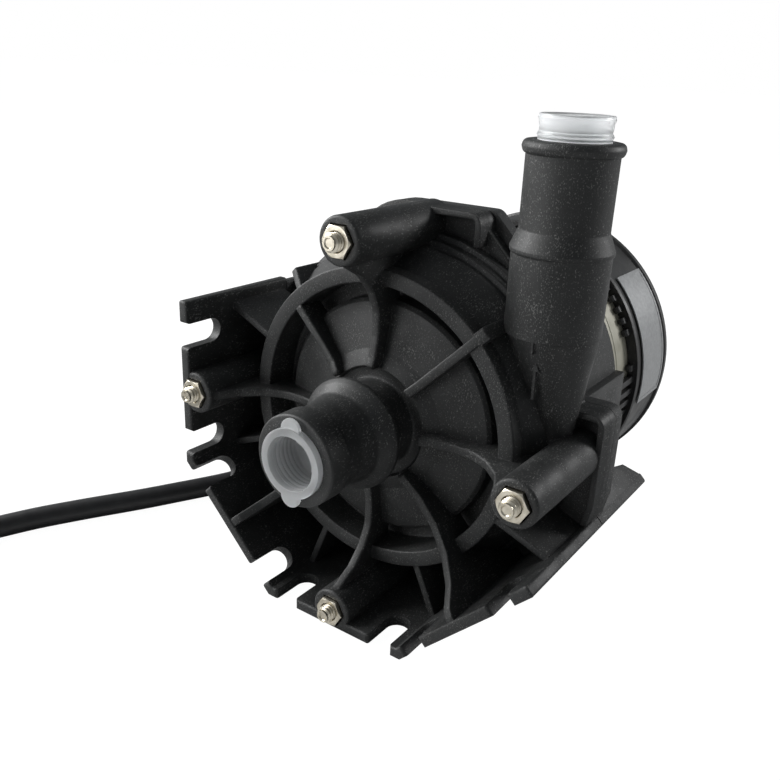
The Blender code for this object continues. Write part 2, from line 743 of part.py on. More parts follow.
def volute_casing():
    body = casing_turning()
    feet = slab("feet", trough_outline(FOOT_APOTHEM, FOOT_INSIDE, FOOT_END, FOOT_END), 0, SPLIT + 0.0012)
    flange = slab("flange", flange_outline(False), SPLIT - FLANGE_WALL - GAP, SPLIT + 0.0014)
    webs = gussets(RING_OUTER - 0.0010, RING_FRONT + 0.0002, SPLIT - 0.0010, GUSSET_ANGLES, GUSSET_WALL)
    solid = joined(body, [feet, flange, *bolt_bosses(), *webs, *casing_ribs(), *ear_rims(), *outlet_pipe(), flow_arrow()])
    cutters = foot_slots() + chamber_cutters() + bolt_cutters(-0.01, SPLIT + 0.004, True)
    cutters.append(half_space("split", SPLIT - GAP, SPLIT + 0.010))
    return finish(cut(solid, cutters), BLACK_PLASTIC)


def motor_bracket():
    """Rear half of the foot with the motor's flange, spigot and end walls."""
    front = SPLIT
    back = SPLIT + BRACKET_WALL
    foot_back = SPLIT + BRACKET_FOOT_LENGTH
    plate = slab("motor_bracket", flange_outline(True), front - 0.0010, back)
    feet = slab("feet", trough_outline(FOOT_APOTHEM, FOOT_INSIDE, BRACKET_LEFT_END, FOOT_END),
                front - 0.0014, foot_back)
    spigot_out = CAN_RADIUS - CAN_WALL - GAP
    spigot = [(spigot_out, back - 0.001), (spigot_out, back + SPIGOT_LENGTH)]
    spigot += [(spigot_out - SPIGOT_WALL, back + SPIGOT_LENGTH), (spigot_out - SPIGOT_WALL, back - 0.001)]
    ring = turned_on_axis("spigot", spigot, closed=True)
    inner = CAN_RADIUS + GAP
    skirt = [(SKIRT_RADIUS, back - 0.001), (SKIRT_RADIUS, SKIRT_BACK), (inner, SKIRT_BACK), (inner, back - 0.001)]
    collar = turned_on_axis("skirt", skirt, closed=True)
    webs = gussets(inner + 0.0008, back - 0.001, foot_back - 0.010, (202.5, 247.5, 292.5), GUSSET_WALL)
    side = FOOT_INSIDE + FOOT_WALL / 2
    root = END_WALL_ROOT
    wall = [(root, back - 0.001), (side, back - 0.001), (side, foot_back), (side - 0.002, foot_back - 0.0012)]
    wall += [(0.0512, foot_back - 0.0062), (0.0496, foot_back - 0.0130), (root, foot_back - 0.0160)]
    thick = 0.0030
    ends = [
        extruded("end", wall, thick, radial_frame(315, FOOT_END - thick / 2 - 0.00002)),
        extruded("end", wall, thick, radial_frame(180, -BRACKET_LEFT_END + thick / 2 + 0.00002)),
    ]
    root = inner + 0.0004
    lug = slab("lug", [(root, -LUG_END), (LUG_SIDE, -LUG_END), (LUG_SIDE, LUG_TOP), (root, LUG_TOP)],
               back - 0.001, SKIRT_BACK + 0.0010)
    solid = joined(plate, [feet, ring, collar, lug, *webs, *ends])
    recess = [(0, front - 0.005), (SHELL_FLANGE + GAP, front - 0.005)]
    recess += [(SHELL_FLANGE + GAP, front + SHELL_WALL + GAP), (SHELL_DOME + GAP, front + SHELL_WALL + GAP)]
    recess += [(SHELL_DOME + GAP, back + 0.001), (0, back + 0.001)]
    cutters = [turned_on_axis("recess", recess)] + bolt_cutters(front - 0.006, back + 0.001, False)
    seat = [(inner, back), (inner, SKIRT_BACK + 0.010), (spigot_out + 0.0002, SKIRT_BACK + 0.010)]
    cutters.append(turned_on_axis("seat", seat + [(spigot_out + 0.0002, back)], closed=True))
    for angle in BOSS_ANGLES:
        x, z = on_axis(angle, BOLT_CIRCLE)
        cutters.append(rod("relief", x, z, BOLT_FLANGE_RADIUS + GAP, back - SPOT_FACE, foot_back + 0.001, 20))
    cutters.append(half_space("split", front - 0.010, front))
    return finish(cut(solid, cutters), BLACK_PLASTIC)


def fasteners():
    """Casing bolts, which come from behind, with their nuts in the pockets in front."""
    for angle, side in zip(BOSS_ANGLES, BOSS_NAMES):
        x, z = on_axis(angle, BOLT_CIRCLE)
        tip = BOSS_FRONT - NUT_PROUD - BOLT_STICK_OUT
        seat = SPLIT + BRACKET_WALL - SPOT_FACE + GAP
        head = seat + BOLT_FLANGE_HEIGHT
        end = head + BOLT_HEAD_HEIGHT
        profile = [(0, tip), (BOLT_RADIUS - 0.0006, tip), (BOLT_RADIUS, tip + 0.0006), (BOLT_RADIUS, seat)]
        profile += [(BOLT_FLANGE_RADIUS, seat), (BOLT_FLANGE_RADIUS, head - 0.0004), (BOLT_HEAD_RADIUS, end - 0.0005), (BOLT_HEAD_RADIUS - 0.0005, end)]
        profile += [(0, end)]
        frame = Matrix.Translation((x, 0, z)) @ AXIS_FRAME
        bolt = turned(f"casing_bolt_{side}", [(r, -depth_y(d)) for r, d in profile], False, 12, frame)
        outline = [(x + px, z + pz) for px, pz in nut_outline(BOLT_SOCKET)]
        finish(cut(bolt, [slab("socket", outline, end - 0.0030, end + 0.001)]), STEEL)
        front = BOSS_FRONT - NUT_PROUD
        outline = [(x + px, z + pz) for px, pz in nut_outline(NUT_FLATS)]
        hole = [(x + (BOLT_RADIUS + BOLT_PLAY) * math.cos(k * math.pi / 6),
                 z + (BOLT_RADIUS + BOLT_PLAY) * math.sin(k * math.pi / 6)) for k in range(12)]
        finish(slab(f"casing_nut_{side}", outline, front, front + NUT_HEIGHT, [hole]), STEEL)


def wet_side():
    """Seal, separation shell, bearing post and ball."""
    centre = SPLIT - GAP - SEAL_SECTION
    ring = arc(SEAL_CIRCLE, centre, SEAL_SECTION, 180, 540, 6)[:-1]
    finish(turned_on_axis("casing_seal", ring, closed=True, steps=28), RUBBER)
    front = SPLIT
    wall = SHELL_WALL
    dome = SHELL_DOME
    middle = SHELL_DOME_CENTRE
    outer = [(SHELL_FLANGE, front), (SHELL_FLANGE, front + wall), (dome, front + wall)]
    outer += arc(0, middle, dome, 0, 90, 7)
    inner = arc(0, middle, dome - wall, 90, 0, 7)
    inner += [(dome - wall, front)]
    finish(turned_on_axis("separation_shell", outer + inner, closed=True, steps=28), STAINLESS)
    post_back = middle + dome - wall - GAP
    post_front = BALL_DEPTH + BALL_RADIUS * 0.9 + GAP
    foot = POST_RADIUS * 2
    post = [(0, post_front), (POST_RADIUS, post_front), (POST_RADIUS, post_back - 0.0030)]
    post += [(foot, post_back - 0.0015), (foot, post_back - 0.0004), (0, post_back - 0.0002)]
    finish(turned_on_axis("bearing_post", post, steps=20), STAINLESS)
    work = bmesh.new()
    place = Matrix.Translation((0, depth_y(BALL_DEPTH), AXIS_Z))
    bmesh.ops.create_uvsphere(work, u_segments=14, v_segments=8, radius=BALL_RADIUS, matrix=place)
    shape = bpy.data.meshes.new("bearing_ball")
    work.to_mesh(shape)
    work.free()
    finish(put("bearing_ball", shape), CERAMIC)


def impeller():
    """Shrouded impeller with swept vanes, whose hub reaches back into the rotor."""
    front = IMPELLER_FRONT
    back = IMPELLER_BACK
    disc = back - IMPELLER_DISC
    edge = 0.0026
    shroud = [(IMPELLER_EYE + IMPELLER_SHROUD, front - edge), (IMPELLER_RADIUS, front)]
    shroud += [(IMPELLER_RADIUS, front + IMPELLER_SHROUD), (IMPELLER_EYE + 0.0026, front - edge + IMPELLER_SHROUD)]
    shroud += [(IMPELLER_EYE, front - edge + IMPELLER_SHROUD), (IMPELLER_EYE, front - edge - 0.0004)]
    shroud += [(IMPELLER_EYE + IMPELLER_SHROUD, front - edge - 0.0004)]
    bearing = BALL_RADIUS + 2 * GAP + CUP_WALL
    pocket = bearing + GAP
    hub = pocket + 0.0016
    hub_back = BALL_DEPTH + BALL_RADIUS
    body = [(0, disc - 0.0030), (0.0030, disc - 0.0024), (0.0060, disc), (IMPELLER_RADIUS, disc)]
    body += [(IMPELLER_RADIUS, back), (hub, back), (hub, hub_back), (pocket, hub_back)]
    body += [(pocket, BALL_DEPTH - BALL_RADIUS - 0.0040), (0, BALL_DEPTH - BALL_RADIUS - 0.0040)]
    vanes = []
    steps = 5
    for k in range(VANE_COUNT):
        line = []
        for i in range(steps + 1):
            share = i / steps
            radius = IMPELLER_EYE + 0.0006 + (IMPELLER_RADIUS - 0.0004 - IMPELLER_EYE) * share
            turn = math.radians(360 * k / VANE_COUNT - VANE_SWEEP * share)
            line.append(Vector((radius * math.cos(turn), radius * math.sin(turn))))
        left, right = [], []
        for i, point in enumerate(line):
            ahead = line[min(i + 1, steps)] - line[max(i - 1, 0)]
            across = Vector((-ahead.y, ahead.x)).normalized() * VANE_WALL / 2
            left.append(tuple(point + across))
            right.append(tuple(point - across))
        vanes.append(slab("vane", left + right[::-1], front - 0.0012, disc + 0.0008))
    made = turned_on_axis("impeller", body, steps=28)
    ring = turned_on_axis("shroud", shroud, closed=True, steps=28)
    made = joined(made, [ring, *vanes])
    trim = [(IMPELLER_EYE + IMPELLER_SHROUD + 0.0001, front - 0.02), (IMPELLER_RADIUS + 0.01, front - 0.02)]
    trim += [(IMPELLER_RADIUS + 0.01, front), (IMPELLER_RADIUS, front - 0.00001)]
    trim += [(IMPELLER_EYE + IMPELLER_SHROUD + 0.0001, front - edge - 0.00001)]
    finish(cut(made, [turned_on_axis("trim", trim, closed=True, steps=28)]), CREAM_PLASTIC)
    cup_in = BALL_RADIUS + GAP
    cup_front = BALL_DEPTH - BALL_RADIUS - 0.0036
    cup = [(0, cup_front), (bearing, cup_front), (bearing, hub_back), (cup_in + 0.0008, hub_back)]
    cup += arc(0, BALL_DEPTH, cup_in, 50, -90, 6)
    finish(turned_on_axis("bearing_cup", cup, steps=20), CARBON)
    clear_hub = hub + GAP
    radius = SHELL_DOME - SHELL_WALL - ROTOR_PLAY
    rotor_front = IMPELLER_BACK + GAP
    rotor = [(clear_hub, rotor_front), (radius, rotor_front)]
    rotor += arc(0, SHELL_DOME_CENTRE, radius, 0, 66, 5)
    rotor += [(clear_hub, SHELL_DOME_CENTRE + radius * math.sin(math.radians(66)))]
    finish(turned_on_axis("rotor_magnet", rotor, closed=True, steps=28), FERRITE)


def stator():
    """Laminated core with its coils, the steel can round them, the board and its capacitor."""
    back = SPLIT + BRACKET_WALL
    core_out = CAN_RADIUS - CAN_WALL - GAP
    core_front = back + SPIGOT_LENGTH + GAP
    core_back = core_front + CORE_LENGTH
    yoke_in = core_out - CORE_YOKE
    tooth_in = SHELL_DOME + GAP
    yoke = [(core_out, core_front), (core_out, core_back), (yoke_in, core_back), (yoke_in, core_front)]
    core = turned_on_axis("stator_core", yoke, closed=True, steps=28)
    teeth = []
    middle = (core_front + core_back) / 2
    for k in range(TOOTH_COUNT):
        angle = 360 * k / TOOTH_COUNT + 30
        length = yoke_in + 0.0006 - tooth_in
        place = radial_frame(angle) @ Matrix.Translation((tooth_in + length / 2, middle, 0))
        teeth.append(block("tooth", (length, CORE_LENGTH, TOOTH_WIDTH), place))
        inner = (TOOTH_WIDTH / 2 + GAP, CORE_LENGTH / 2 + GAP)
        outer = (inner[0] + COIL_WALL, inner[1] + COIL_OVERHANG)
        height = yoke_in - tooth_in - 0.0052
        frame = radial_frame(angle) @ Matrix.Translation((tooth_in + 0.0026 + height / 2, middle, 0))
        frame = frame @ Matrix(((0, 0, 1), (0, 1, 0), (-1, 0, 0))).to_4x4()
        outline = rounded([(-outer[0], -outer[1], 0.002), (outer[0], -outer[1], 0.002)]
                          + [(outer[0], outer[1], 0.002), (-outer[0], outer[1], 0.002)])
        hole = [(-inner[0], -inner[1]), (inner[0], -inner[1]), (inner[0], inner[1]), (-inner[0], inner[1])]
        finish(extruded(f"stator_coil_{k + 1}", outline, height, frame, [hole]), COPPER)
    core = joined(core, teeth)
    holes = []
    for angle in SCREW_ANGLES:
        x, z = on_axis(angle, SCREW_CIRCLE)
        holes.append(rod("hole", x, z, SCREW_RADIUS + GAP, core_back - 0.010, core_back + 0.001, 12))
    finish(cut(core, holes), LAMINATION)
    can_front = back + GAP
    can_back = can_front + CAN_LENGTH
    can = [(CAN_RADIUS, can_front), (CAN_RADIUS, can_back), (CAN_RADIUS - CAN_WALL, can_back)]
    can += [(CAN_RADIUS - CAN_WALL, can_front)]
    finish(turned_on_axis("stator_can", can, closed=True), CREAM_METAL)
    rim = [on_axis(360 * k / 32, core_out) for k in range(32)]
    board_holes = []
    for angle in SCREW_ANGLES:
        x, z = on_axis(angle, SCREW_CIRCLE)
        play = SCREW_RADIUS + 2 * GAP
        board_holes.append([(x + play * math.cos(k * math.pi / 6), z + play * math.sin(k * math.pi / 6))
                            for k in range(12)])
    board = slab("circuit_board", rim, BOARD_DEPTH, BOARD_DEPTH + BOARD_WALL, board_holes)
    finish(board, BOARD_GREEN)
    x, z = on_axis(60, CAPACITOR_OFFSET)
    foot = BOARD_DEPTH + BOARD_WALL + GAP
    finish(rod("board_capacitor", x, z, CAPACITOR_RADIUS, foot, foot + CAPACITOR_HEIGHT, 24, 0.0008),
           CAPACITOR_SLEEVE)


def rear_cover():
    """Black end cover: a cup over the can, with a comb of vent fins round its front rim and a pad for the lead."""
    inside = CAN_RADIUS + GAP
    rim = COVER_RIM
    end = rim + COVER_LENGTH
    wall = COVER_WALL
    fillet = COVER_FILLET
    profile = [(COVER_RADIUS, rim)]
    profile += arc(COVER_RADIUS - fillet - 0.0006, end - fillet, fillet, 0, 90, 3)
    profile += [(0, end), (0, end - wall), (inside - 0.0040, end - wall), (inside, end - wall - 0.0035), (inside, rim)]
    cover = turned_on_axis("rear_cover", profile, closed=True)
    fins = []
    for k in range(VENT_COUNT):
        angle = 360 * (k + 0.5) / VENT_COUNT
        low = angle > 180 - FIN_LONG_BELOW or angle < FIN_LONG_BELOW
        length = FIN_LONG if low else FIN_SHORT
        inner = inside + 0.0002
        outer = COVER_RADIUS - 0.0002
        place = radial_frame(angle) @ Matrix.Translation(((inner + outer) / 2, rim - length / 2 + 0.0006, 0))
        fins.append(block("fin", (outer - inner, length, VENT_FIN), place))
    turn = math.radians(GLAND_ANGLE)
    out = Vector((math.cos(turn), 0, math.sin(turn)))
    pad_frame = Vector((0, depth_y(GLAND_DEPTH), AXIS_Z))
    pad = turned("pad", [(0, GLAND_PAD_REACH), (GLAND_PAD, GLAND_PAD_REACH), (GLAND_PAD + 0.0006, inside + 0.0010),
                         (0, inside + 0.0010)], False, 24, aimed(pad_frame, out))
    cover = joined(cover, [*fins, pad])
    holes = []
    for angle in SCREW_ANGLES:
        x, z = on_axis(angle, SCREW_CIRCLE)
        holes.append(rod("hole", x, z, SCREW_RADIUS + GAP, end - 0.010, end + 0.001, 12))
    finish(cut(cover, holes), BLACK_COVER)
    core_back = SPLIT + BRACKET_WALL + SPIGOT_LENGTH + GAP + CORE_LENGTH
    for k, angle in enumerate(SCREW_ANGLES):
        x, z = on_axis(angle, SCREW_CIRCLE)
        head = end + GAP
        top = head + SCREW_HEAD_HEIGHT
        profile = [(0, core_back - 0.008), (SCREW_RADIUS, core_back - 0.008), (SCREW_RADIUS, head)]
        profile += [(SCREW_HEAD, head), (SCREW_HEAD - 0.0004, top - 0.0006), (SCREW_HEAD - 0.0014, top), (0, top)]
        frame = Matrix.Translation((x, 0, z)) @ AXIS_FRAME
        screw = turned(f"cover_screw_{k + 1}", [(r, -depth_y(d)) for r, d in profile], False, 14, frame)
        finish(screw, STEEL)


def label_plate():
    """Bare rating plate, bent round the rear cover's right side."""
    radius = COVER_RADIUS + GAP
    steps = 14
    outer, inner = [], []
    for i in range(steps + 1):
        angle = LABEL_FROM + (LABEL_TO - LABEL_FROM) * i / steps
        outer.append(on_axis(angle, radius + LABEL_WALL))
        inner.append(on_axis(angle, radius))
    front = COVER_RIM + LABEL_MARGIN
    finish(slab("label_plate", outer + inner[::-1], front, front + LABEL_WIDTH), LABEL_METAL)


def plugs():
    """Translucent transport plugs: a thin cup in each port, with a rim and, on the inlet's, two pull tabs."""
    radius = INLET_BORE - PLUG_PLAY
    rim = radius - 0.0003
    front = -INLET_LENGTH - GAP - PLUG_RIM_HEIGHT
    seat = -INLET_LENGTH - GAP
    bottom = seat + PLUG_DEPTH
    bore = radius - PLUG_WALL - 0.0004
    profile = [(rim + 0.0006, front), (rim + 0.0006, seat), (radius, seat), (radius, seat + 0.0040)]
    profile += [(radius - 0.0003, seat + 0.0046), (radius, seat + 0.0052), (radius - 0.0003, bottom), (0, bottom)]
    profile += [(0, bottom - PLUG_WALL), (bore, bottom - PLUG_WALL), (bore, bottom - 0.0040)]
    profile += [(bore + 0.0005, bottom - 0.0046), (bore, bottom - 0.0052), (bore, front)]
    cup = turned_on_axis("inlet_plug", profile, closed=True, steps=24)
    tabs = []
    for side in (1, -1):
        base = rim - 0.0004
        reach = base + PLUG_TAB
        outline = [(-0.0026, base * side), (-0.0026, (reach - 0.001) * side), (-0.0014, reach * side)]
        outline += [(0.0014, reach * side), (0.0026, (reach - 0.001) * side), (0.0026, base * side)]
        if side < 0:
            outline.reverse()
        tabs.append(slab("tab", outline, front, seat - 0.0003))
    finish(joined(cup, tabs), MILKY)
    radius = OUTLET_BORE - PLUG_PLAY
    rim = radius + 0.0006
    seat = OUTLET_TOP + OUTLET_PLUG_STAND - OUTLET_PLUG_RIM_HEIGHT
    top = seat + OUTLET_PLUG_RIM_HEIGHT
    bottom = OUTLET_TOP - PLUG_DEPTH
    bore = radius - PLUG_WALL
    profile = [(rim - 0.0004, top), (rim, top - 0.0005), (rim, seat + 0.0004), (rim - 0.0004, seat), (radius, seat)]
    profile += [(radius, bottom + 0.0010), (radius - 0.0008, bottom), (0, bottom), (0, bottom + PLUG_WALL)]
    profile += [(bore - 0.0006, bottom + PLUG_WALL), (bore, bottom + PLUG_WALL + 0.0008), (bore, top)]
    finish(turned_upright("outlet_plug", profile, OUTLET_X, OUTLET_DEPTH, closed=True, steps=24), MILKY)


def aimed(origin, direction):
    """A frame at a point whose Z looks along a direction."""
    frame = direction.to_track_quat("Z", "Y").to_matrix().to_4x4()
    frame.translation = origin
    return frame


def thinned(line, allowance):
    """The points of a line that are needed to keep it within an allowance of all of them."""
    first, last = line[0], line[-1]
    along = (last - first).normalized()
    strays = [((p - first) - along * (p - first).dot(along)).length for p in line]
    widest = max(range(len(line)), key=strays.__getitem__)
    if strays[widest] < allowance:
        return [first, last]
    return thinned(line[:widest + 1], allowance)[:-1] + thinned(line[widest:], allowance)


def tube(name, route, look):
    """A plain round lead along points that a smooth curve through the route gives."""
    points = [Vector((x, depth_y(d), z)) for x, d, z in route]
    ends = [points[0] * 2 - points[1], *points, points[-1] * 2 - points[-2]]
    line = []
    for i in range(1, len(ends) - 2):
        a, b, c, d = ends[i - 1:i + 3]
        for k in range(2):
            t = k / 2
            line.append(0.5 * (2 * b + (c - a) * t + (2 * a - 5 * b + 4 * c - d) * t * t
                               + (3 * b - a - 3 * c + d) * t * t * t))
    line = thinned([*line, points[-1]], LEAD_ALLOWANCE)
    curve = bpy.data.curves.new(name, "CURVE")
    curve.dimensions = "3D"
    curve.bevel_depth = CORD_RADIUS
    curve.bevel_resolution = 2
    curve.use_fill_caps = True
    spline = curve.splines.new("POLY")
    spline.points.add(len(line) - 1)
    for point, place in zip(spline.points, line):
        point.co = (*place, 1)
    lead_tube = baked(put(name, curve))
    work = bmesh.new()
    work.from_mesh(lead_tube.data)
    bmesh.ops.triangulate(work, faces=[f for f in work.faces if len(f.verts) == 4])
    work.to_mesh(lead_tube.data)
    work.free()
    return finish(lead_tube, look)


def lead():
    """Gland, mains lead, its coil with a tie, and the connector on its end."""
    turn = math.radians(GLAND_ANGLE)
    out = Vector((math.cos(turn), 0, math.sin(turn)))
    base = Vector((0, depth_y(GLAND_DEPTH), AXIS_Z)) + out * (GLAND_PAD_REACH + GAP)
    flats = [(GLAND_NUT_RADIUS * math.cos(k * math.pi / 3), GLAND_NUT_RADIUS * math.sin(k * math.pi / 3))
             for k in range(6)]
    frame = aimed(base, out)
    nut = extruded("cable_gland", flats, GLAND_NUT_HEIGHT, frame @ Matrix.Translation((0, 0, GLAND_NUT_HEIGHT / 2)))
    top = GLAND_NUT_HEIGHT + GLAND_TAIL
    tail = [(0, top), (GLAND_TAIL_END, top), (GLAND_TAIL_END + 0.0020, GLAND_NUT_HEIGHT + 0.0020)]
    tail += [(GLAND_TAIL_END + 0.0022, GLAND_NUT_HEIGHT - 0.0010), (0, GLAND_NUT_HEIGHT - 0.0010)]
    gland = joined(nut, [turned("tail", tail, False, 20, frame)])
    mouth = [(0, top + 0.001), (CORD_RADIUS + GAP, top + 0.001), (CORD_RADIUS + GAP, top - 0.012), (0, top - 0.012)]
    finish(cut(gland, [turned("mouth", mouth, False, 20, frame)]), LEAD_BLACK)
    start = base + out * (top - 0.011)
    first = (start.x, start.y + ORIGIN_DEPTH, start.z)
    mid = base + out * (top - 0.004)
    second = (mid.x, mid.y + ORIGIN_DEPTH, mid.z)
    tube("supply_cord", (first, second, *CORD_ROUTE), LEAD_BLACK)
    ring = arc(COIL_MEAN, COIL_LIFT + COIL_SECTION, COIL_SECTION, 90, -270, 8)[:-1]
    place = Matrix.Translation((COIL_X, depth_y(COIL_DEPTH), 0))
    finish(turned("cord_coil", ring, closed=True, steps=28, matrix=place), LEAD_BLACK)
    inner = COIL_SECTION + GAP
    outer = inner + TIE_WALL
    frame = place @ Matrix.Rotation(math.radians(TIE_ANGLE), 4, "Z")
    frame = frame @ Matrix.Translation((COIL_MEAN, 0, COIL_LIFT + COIL_SECTION)) @ Matrix.Rotation(math.pi / 2, 4, "X")
    loop = rounded([(-outer, -outer, 0.003), (outer, -outer, 0.003), (outer, outer, 0.003), (-outer, outer, 0.003)])
    hole = rounded([(-inner, -inner, 0.002), (inner, -inner, 0.002), (inner, inner, 0.002), (-inner, inner, 0.002)])
    finish(extruded("cord_tie", loop, TIE_WIDTH, frame, [hole]), LEAD_BLACK)
    tube("cord_tail", TAIL_ROUTE, LEAD_BLACK)
    last = Vector(TAIL_ROUTE[-1])
    before = Vector(TAIL_ROUTE[-2])
    ahead = (last - before).normalized()
    origin = Vector((last.x, depth_y(last.y), last.z)) + ahead * (GAP + CONNECTOR_LENGTH / 2)
    origin.z = CONNECTOR_HEIGHT / 2
    turn = math.atan2(ahead.y, ahead.x)
    place = Matrix.Translation(origin) @ Matrix.Rotation(turn, 4, "Z")
    shell = block("cord_connector", (CONNECTOR_LENGTH, CONNECTOR_WIDTH, CONNECTOR_HEIGHT), place)
    wall = 0.0016
    hollow = place @ Matrix.Translation((CONNECTOR_LENGTH / 2 - PIN_LENGTH / 2, 0, 0))
    size = (PIN_LENGTH + 0.002, CONNECTOR_WIDTH - 2 * wall, CONNECTOR_HEIGHT - 2 * wall)
    finish(cut(shell, [block("hollow", size, hollow @ Matrix.Translation((0.001, 0, 0)))]), CONNECTOR_WHITE)
    for k in (-1, 0, 1):
        base = place @ Matrix.Translation((CONNECTOR_LENGTH / 2 - PIN_LENGTH + GAP, k * PIN_PITCH, 0))
        base = base @ Matrix.Rotation(math.pi / 2, 4, "Y")
        profile = [(0, PIN_LENGTH - 0.001), (PIN_RADIUS, PIN_LENGTH - 0.0016), (PIN_RADIUS, 0), (0, 0)]
        finish(turned(f"connector_pin_{k + 2}", profile, False, 12, base), STEEL)


clear_scene()
PARTS = new_collection("circulator_pump")
BLACK_PLASTIC = material("black_glass_filled_plastic", (0.030, 0.032, 0.032), 0.55)
BLACK_COVER = material("black_cover_plastic", (0.034, 0.034, 0.034), 0.50)
STEEL = material("nickel_steel", (0.62, 0.58, 0.50), 0.25, 1.0)
STAINLESS = material("stainless", (0.60, 0.60, 0.58), 0.30, 1.0)
RUBBER = material("seal_rubber", (0.02, 0.02, 0.02), 0.80)
CERAMIC = material("ceramic", (0.85, 0.84, 0.80), 0.15)
CARBON = material("carbon", (0.03, 0.03, 0.03), 0.40)
CREAM_PLASTIC = material("impeller_plastic", (0.55, 0.52, 0.44), 0.45)
FERRITE = material("ferrite", (0.09, 0.09, 0.09), 0.60)
LAMINATION = material("lamination_steel", (0.35, 0.34, 0.33), 0.45, 0.9)
COPPER = material("copper_winding", (0.55, 0.22, 0.08), 0.35, 0.8)
CREAM_METAL = material("can_metal", (0.55, 0.53, 0.45), 0.35, 0.6)
BOARD_GREEN = material("circuit_board", (0.03, 0.16, 0.07), 0.50)
CAPACITOR_SLEEVE = material("capacitor_sleeve", (0.05, 0.05, 0.12), 0.40)
LABEL_METAL = material("label_silver", (0.42, 0.43, 0.43), 0.40, 0.3)
MILKY = material("milky_plastic", (0.80, 0.84, 0.86), 0.30, 0.0, 0.6)
LEAD_BLACK = material("lead_black", (0.02, 0.02, 0.02), 0.50)
CONNECTOR_WHITE = material("connector_nylon", (0.75, 0.74, 0.68), 0.45)

volute_casing()
motor_bracket()
fasteners()
wet_side()
impeller()
stator()
rear_cover()
label_plate()
plugs()
lead()
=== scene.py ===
import math

import bpy
from mathutils import Matrix, Vector


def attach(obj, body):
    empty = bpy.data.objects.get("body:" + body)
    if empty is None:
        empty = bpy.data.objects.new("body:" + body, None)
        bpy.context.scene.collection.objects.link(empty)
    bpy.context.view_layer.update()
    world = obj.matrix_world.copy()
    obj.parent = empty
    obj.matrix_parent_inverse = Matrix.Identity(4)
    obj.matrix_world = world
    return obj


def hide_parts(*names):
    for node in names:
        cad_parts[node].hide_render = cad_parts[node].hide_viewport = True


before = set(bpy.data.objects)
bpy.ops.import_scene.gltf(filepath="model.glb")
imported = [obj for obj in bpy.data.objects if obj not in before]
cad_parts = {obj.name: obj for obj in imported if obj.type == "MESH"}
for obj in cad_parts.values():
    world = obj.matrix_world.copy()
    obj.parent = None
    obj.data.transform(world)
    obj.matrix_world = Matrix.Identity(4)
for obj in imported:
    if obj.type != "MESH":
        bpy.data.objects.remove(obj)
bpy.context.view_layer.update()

# Where the pump axis lies: Y is counted from 30 mm behind the feet's front edge, Z from the foot's underside
ORIGIN_DEPTH = 0.030
AXIS_Z = 0.060
AXIS = Vector((0, 0, AXIS_Z))
BACK = Vector((0, 1, 0))
UP = Vector((0, 0, 1))

FOOT_APOTHEM = 0.060
FOOT_WALL = 0.0033
FOOT_END = 0.0282
FOOT_SIDES = (180, 225, 270, 315)
GUSSET_ANGLES = (157.5, 202.5, 247.5, 292.5, 337.5)
SLOT_WIDTH = 0.0075
SLOT_PITCH = 0.0350
SLOT_DEPTH = 0.0136
SPLIT = 0.0443
BRACKET_WALL = 0.0050
FOOT_BACK = 0.0798
BRACKET_LEFT_END = 0.0270
BOLT_CIRCLE = 0.0545
BOSSES = ((0, "right"), (90, "top"), (180, "left"), (270, "bottom"))
CHORD = 0.0530 * math.sqrt(2)
BRACKET_CHORD = 0.0562 * math.sqrt(2)
EAR_SIDE = 0.0615
EAR_SIDE_TOP = 0.0125
EAR_SIDE_IN = 0.0520
OUTLET_X = 0.0446
OUTLET_DEPTH = 0.0340
CAN_RADIUS = 0.0445
SKIRT_RADIUS = 0.0465
SKIRT_BACK = 0.0850
COVER_RIM = 0.1005
COVER_BACK = 0.1315
COVER_RADIUS = 0.0480
CORD_RADIUS = 0.00375
GLAND_ANGLE = 215
GLAND_DEPTH = 0.1170
FINE = 144  # steps of a whole turn on the large round shapes
MM = 0.001
GAP = 0.0003
BOLT_HOLE = 0.0028
BOLT_RADIUS = 0.0025
SOCKET_FLATS = 0.0040
NUT_FLATS = 0.0080
NUT_HEIGHT = 0.0040
NUT_PROUD = 0.0012
BOSS_FRONT = 0.0002
GUSSET_WALL = 0.0022
RIB_WALL = 0.0027
RIB_WALL_AT_RIGHT = 0.00272  # a hair more, where its faces would meet the boss's edges exactly
OUTLET_BORE = 0.0093
DIFFUSER_FOOT = 0.0491
GLAND_BORE = 0.00405


# Tools of the bench

def select_only(*pieces):
    bpy.ops.object.select_all(action="DESELECT")
    for piece in pieces:
        piece.select_set(True)
    bpy.context.view_layer.objects.active = pieces[0]


def place(x, depth, z):
    """A point from its distance across, depth behind the feet's front and height over the pump axis."""
    return Vector((x, depth - ORIGIN_DEPTH, z + AXIS_Z))


def on_circle(radius, angle):
    turn = math.radians(angle)
    return radius * math.cos(turn), radius * math.sin(turn)


def around(angle, radius, depth=0.0):
    x, z = on_circle(radius, angle)
    return place(x, depth, z)


def outward(angle):
    turn = math.radians(angle)
    return Vector((math.cos(turn), 0, math.sin(turn)))


def sideways(angle):
    """Across the outward direction, the way that angles grow."""
    turn = math.radians(angle)
    return Vector((-math.sin(turn), 0, math.cos(turn)))


def trace(name, points):
    """A chain of edges through the points, left in edit mode with everything selected."""
    bpy.ops.object.select_all(action="DESELECT")
    bpy.ops.mesh.primitive_plane_add(size=0.001, location=points[0])
    piece = bpy.context.object
    piece.name = name
    bpy.ops.object.transform_apply(location=True, rotation=True, scale=True)
    bpy.ops.object.mode_set(mode="EDIT")
    bpy.ops.mesh.select_all(action="SELECT")
    bpy.ops.mesh.merge(type="CENTER")
    for here, ahead in zip(points, points[1:]):
        bpy.ops.mesh.extrude_vertices_move(TRANSFORM_OT_translate={"value": ahead - here})
    bpy.ops.mesh.select_all(action="SELECT")
    return piece


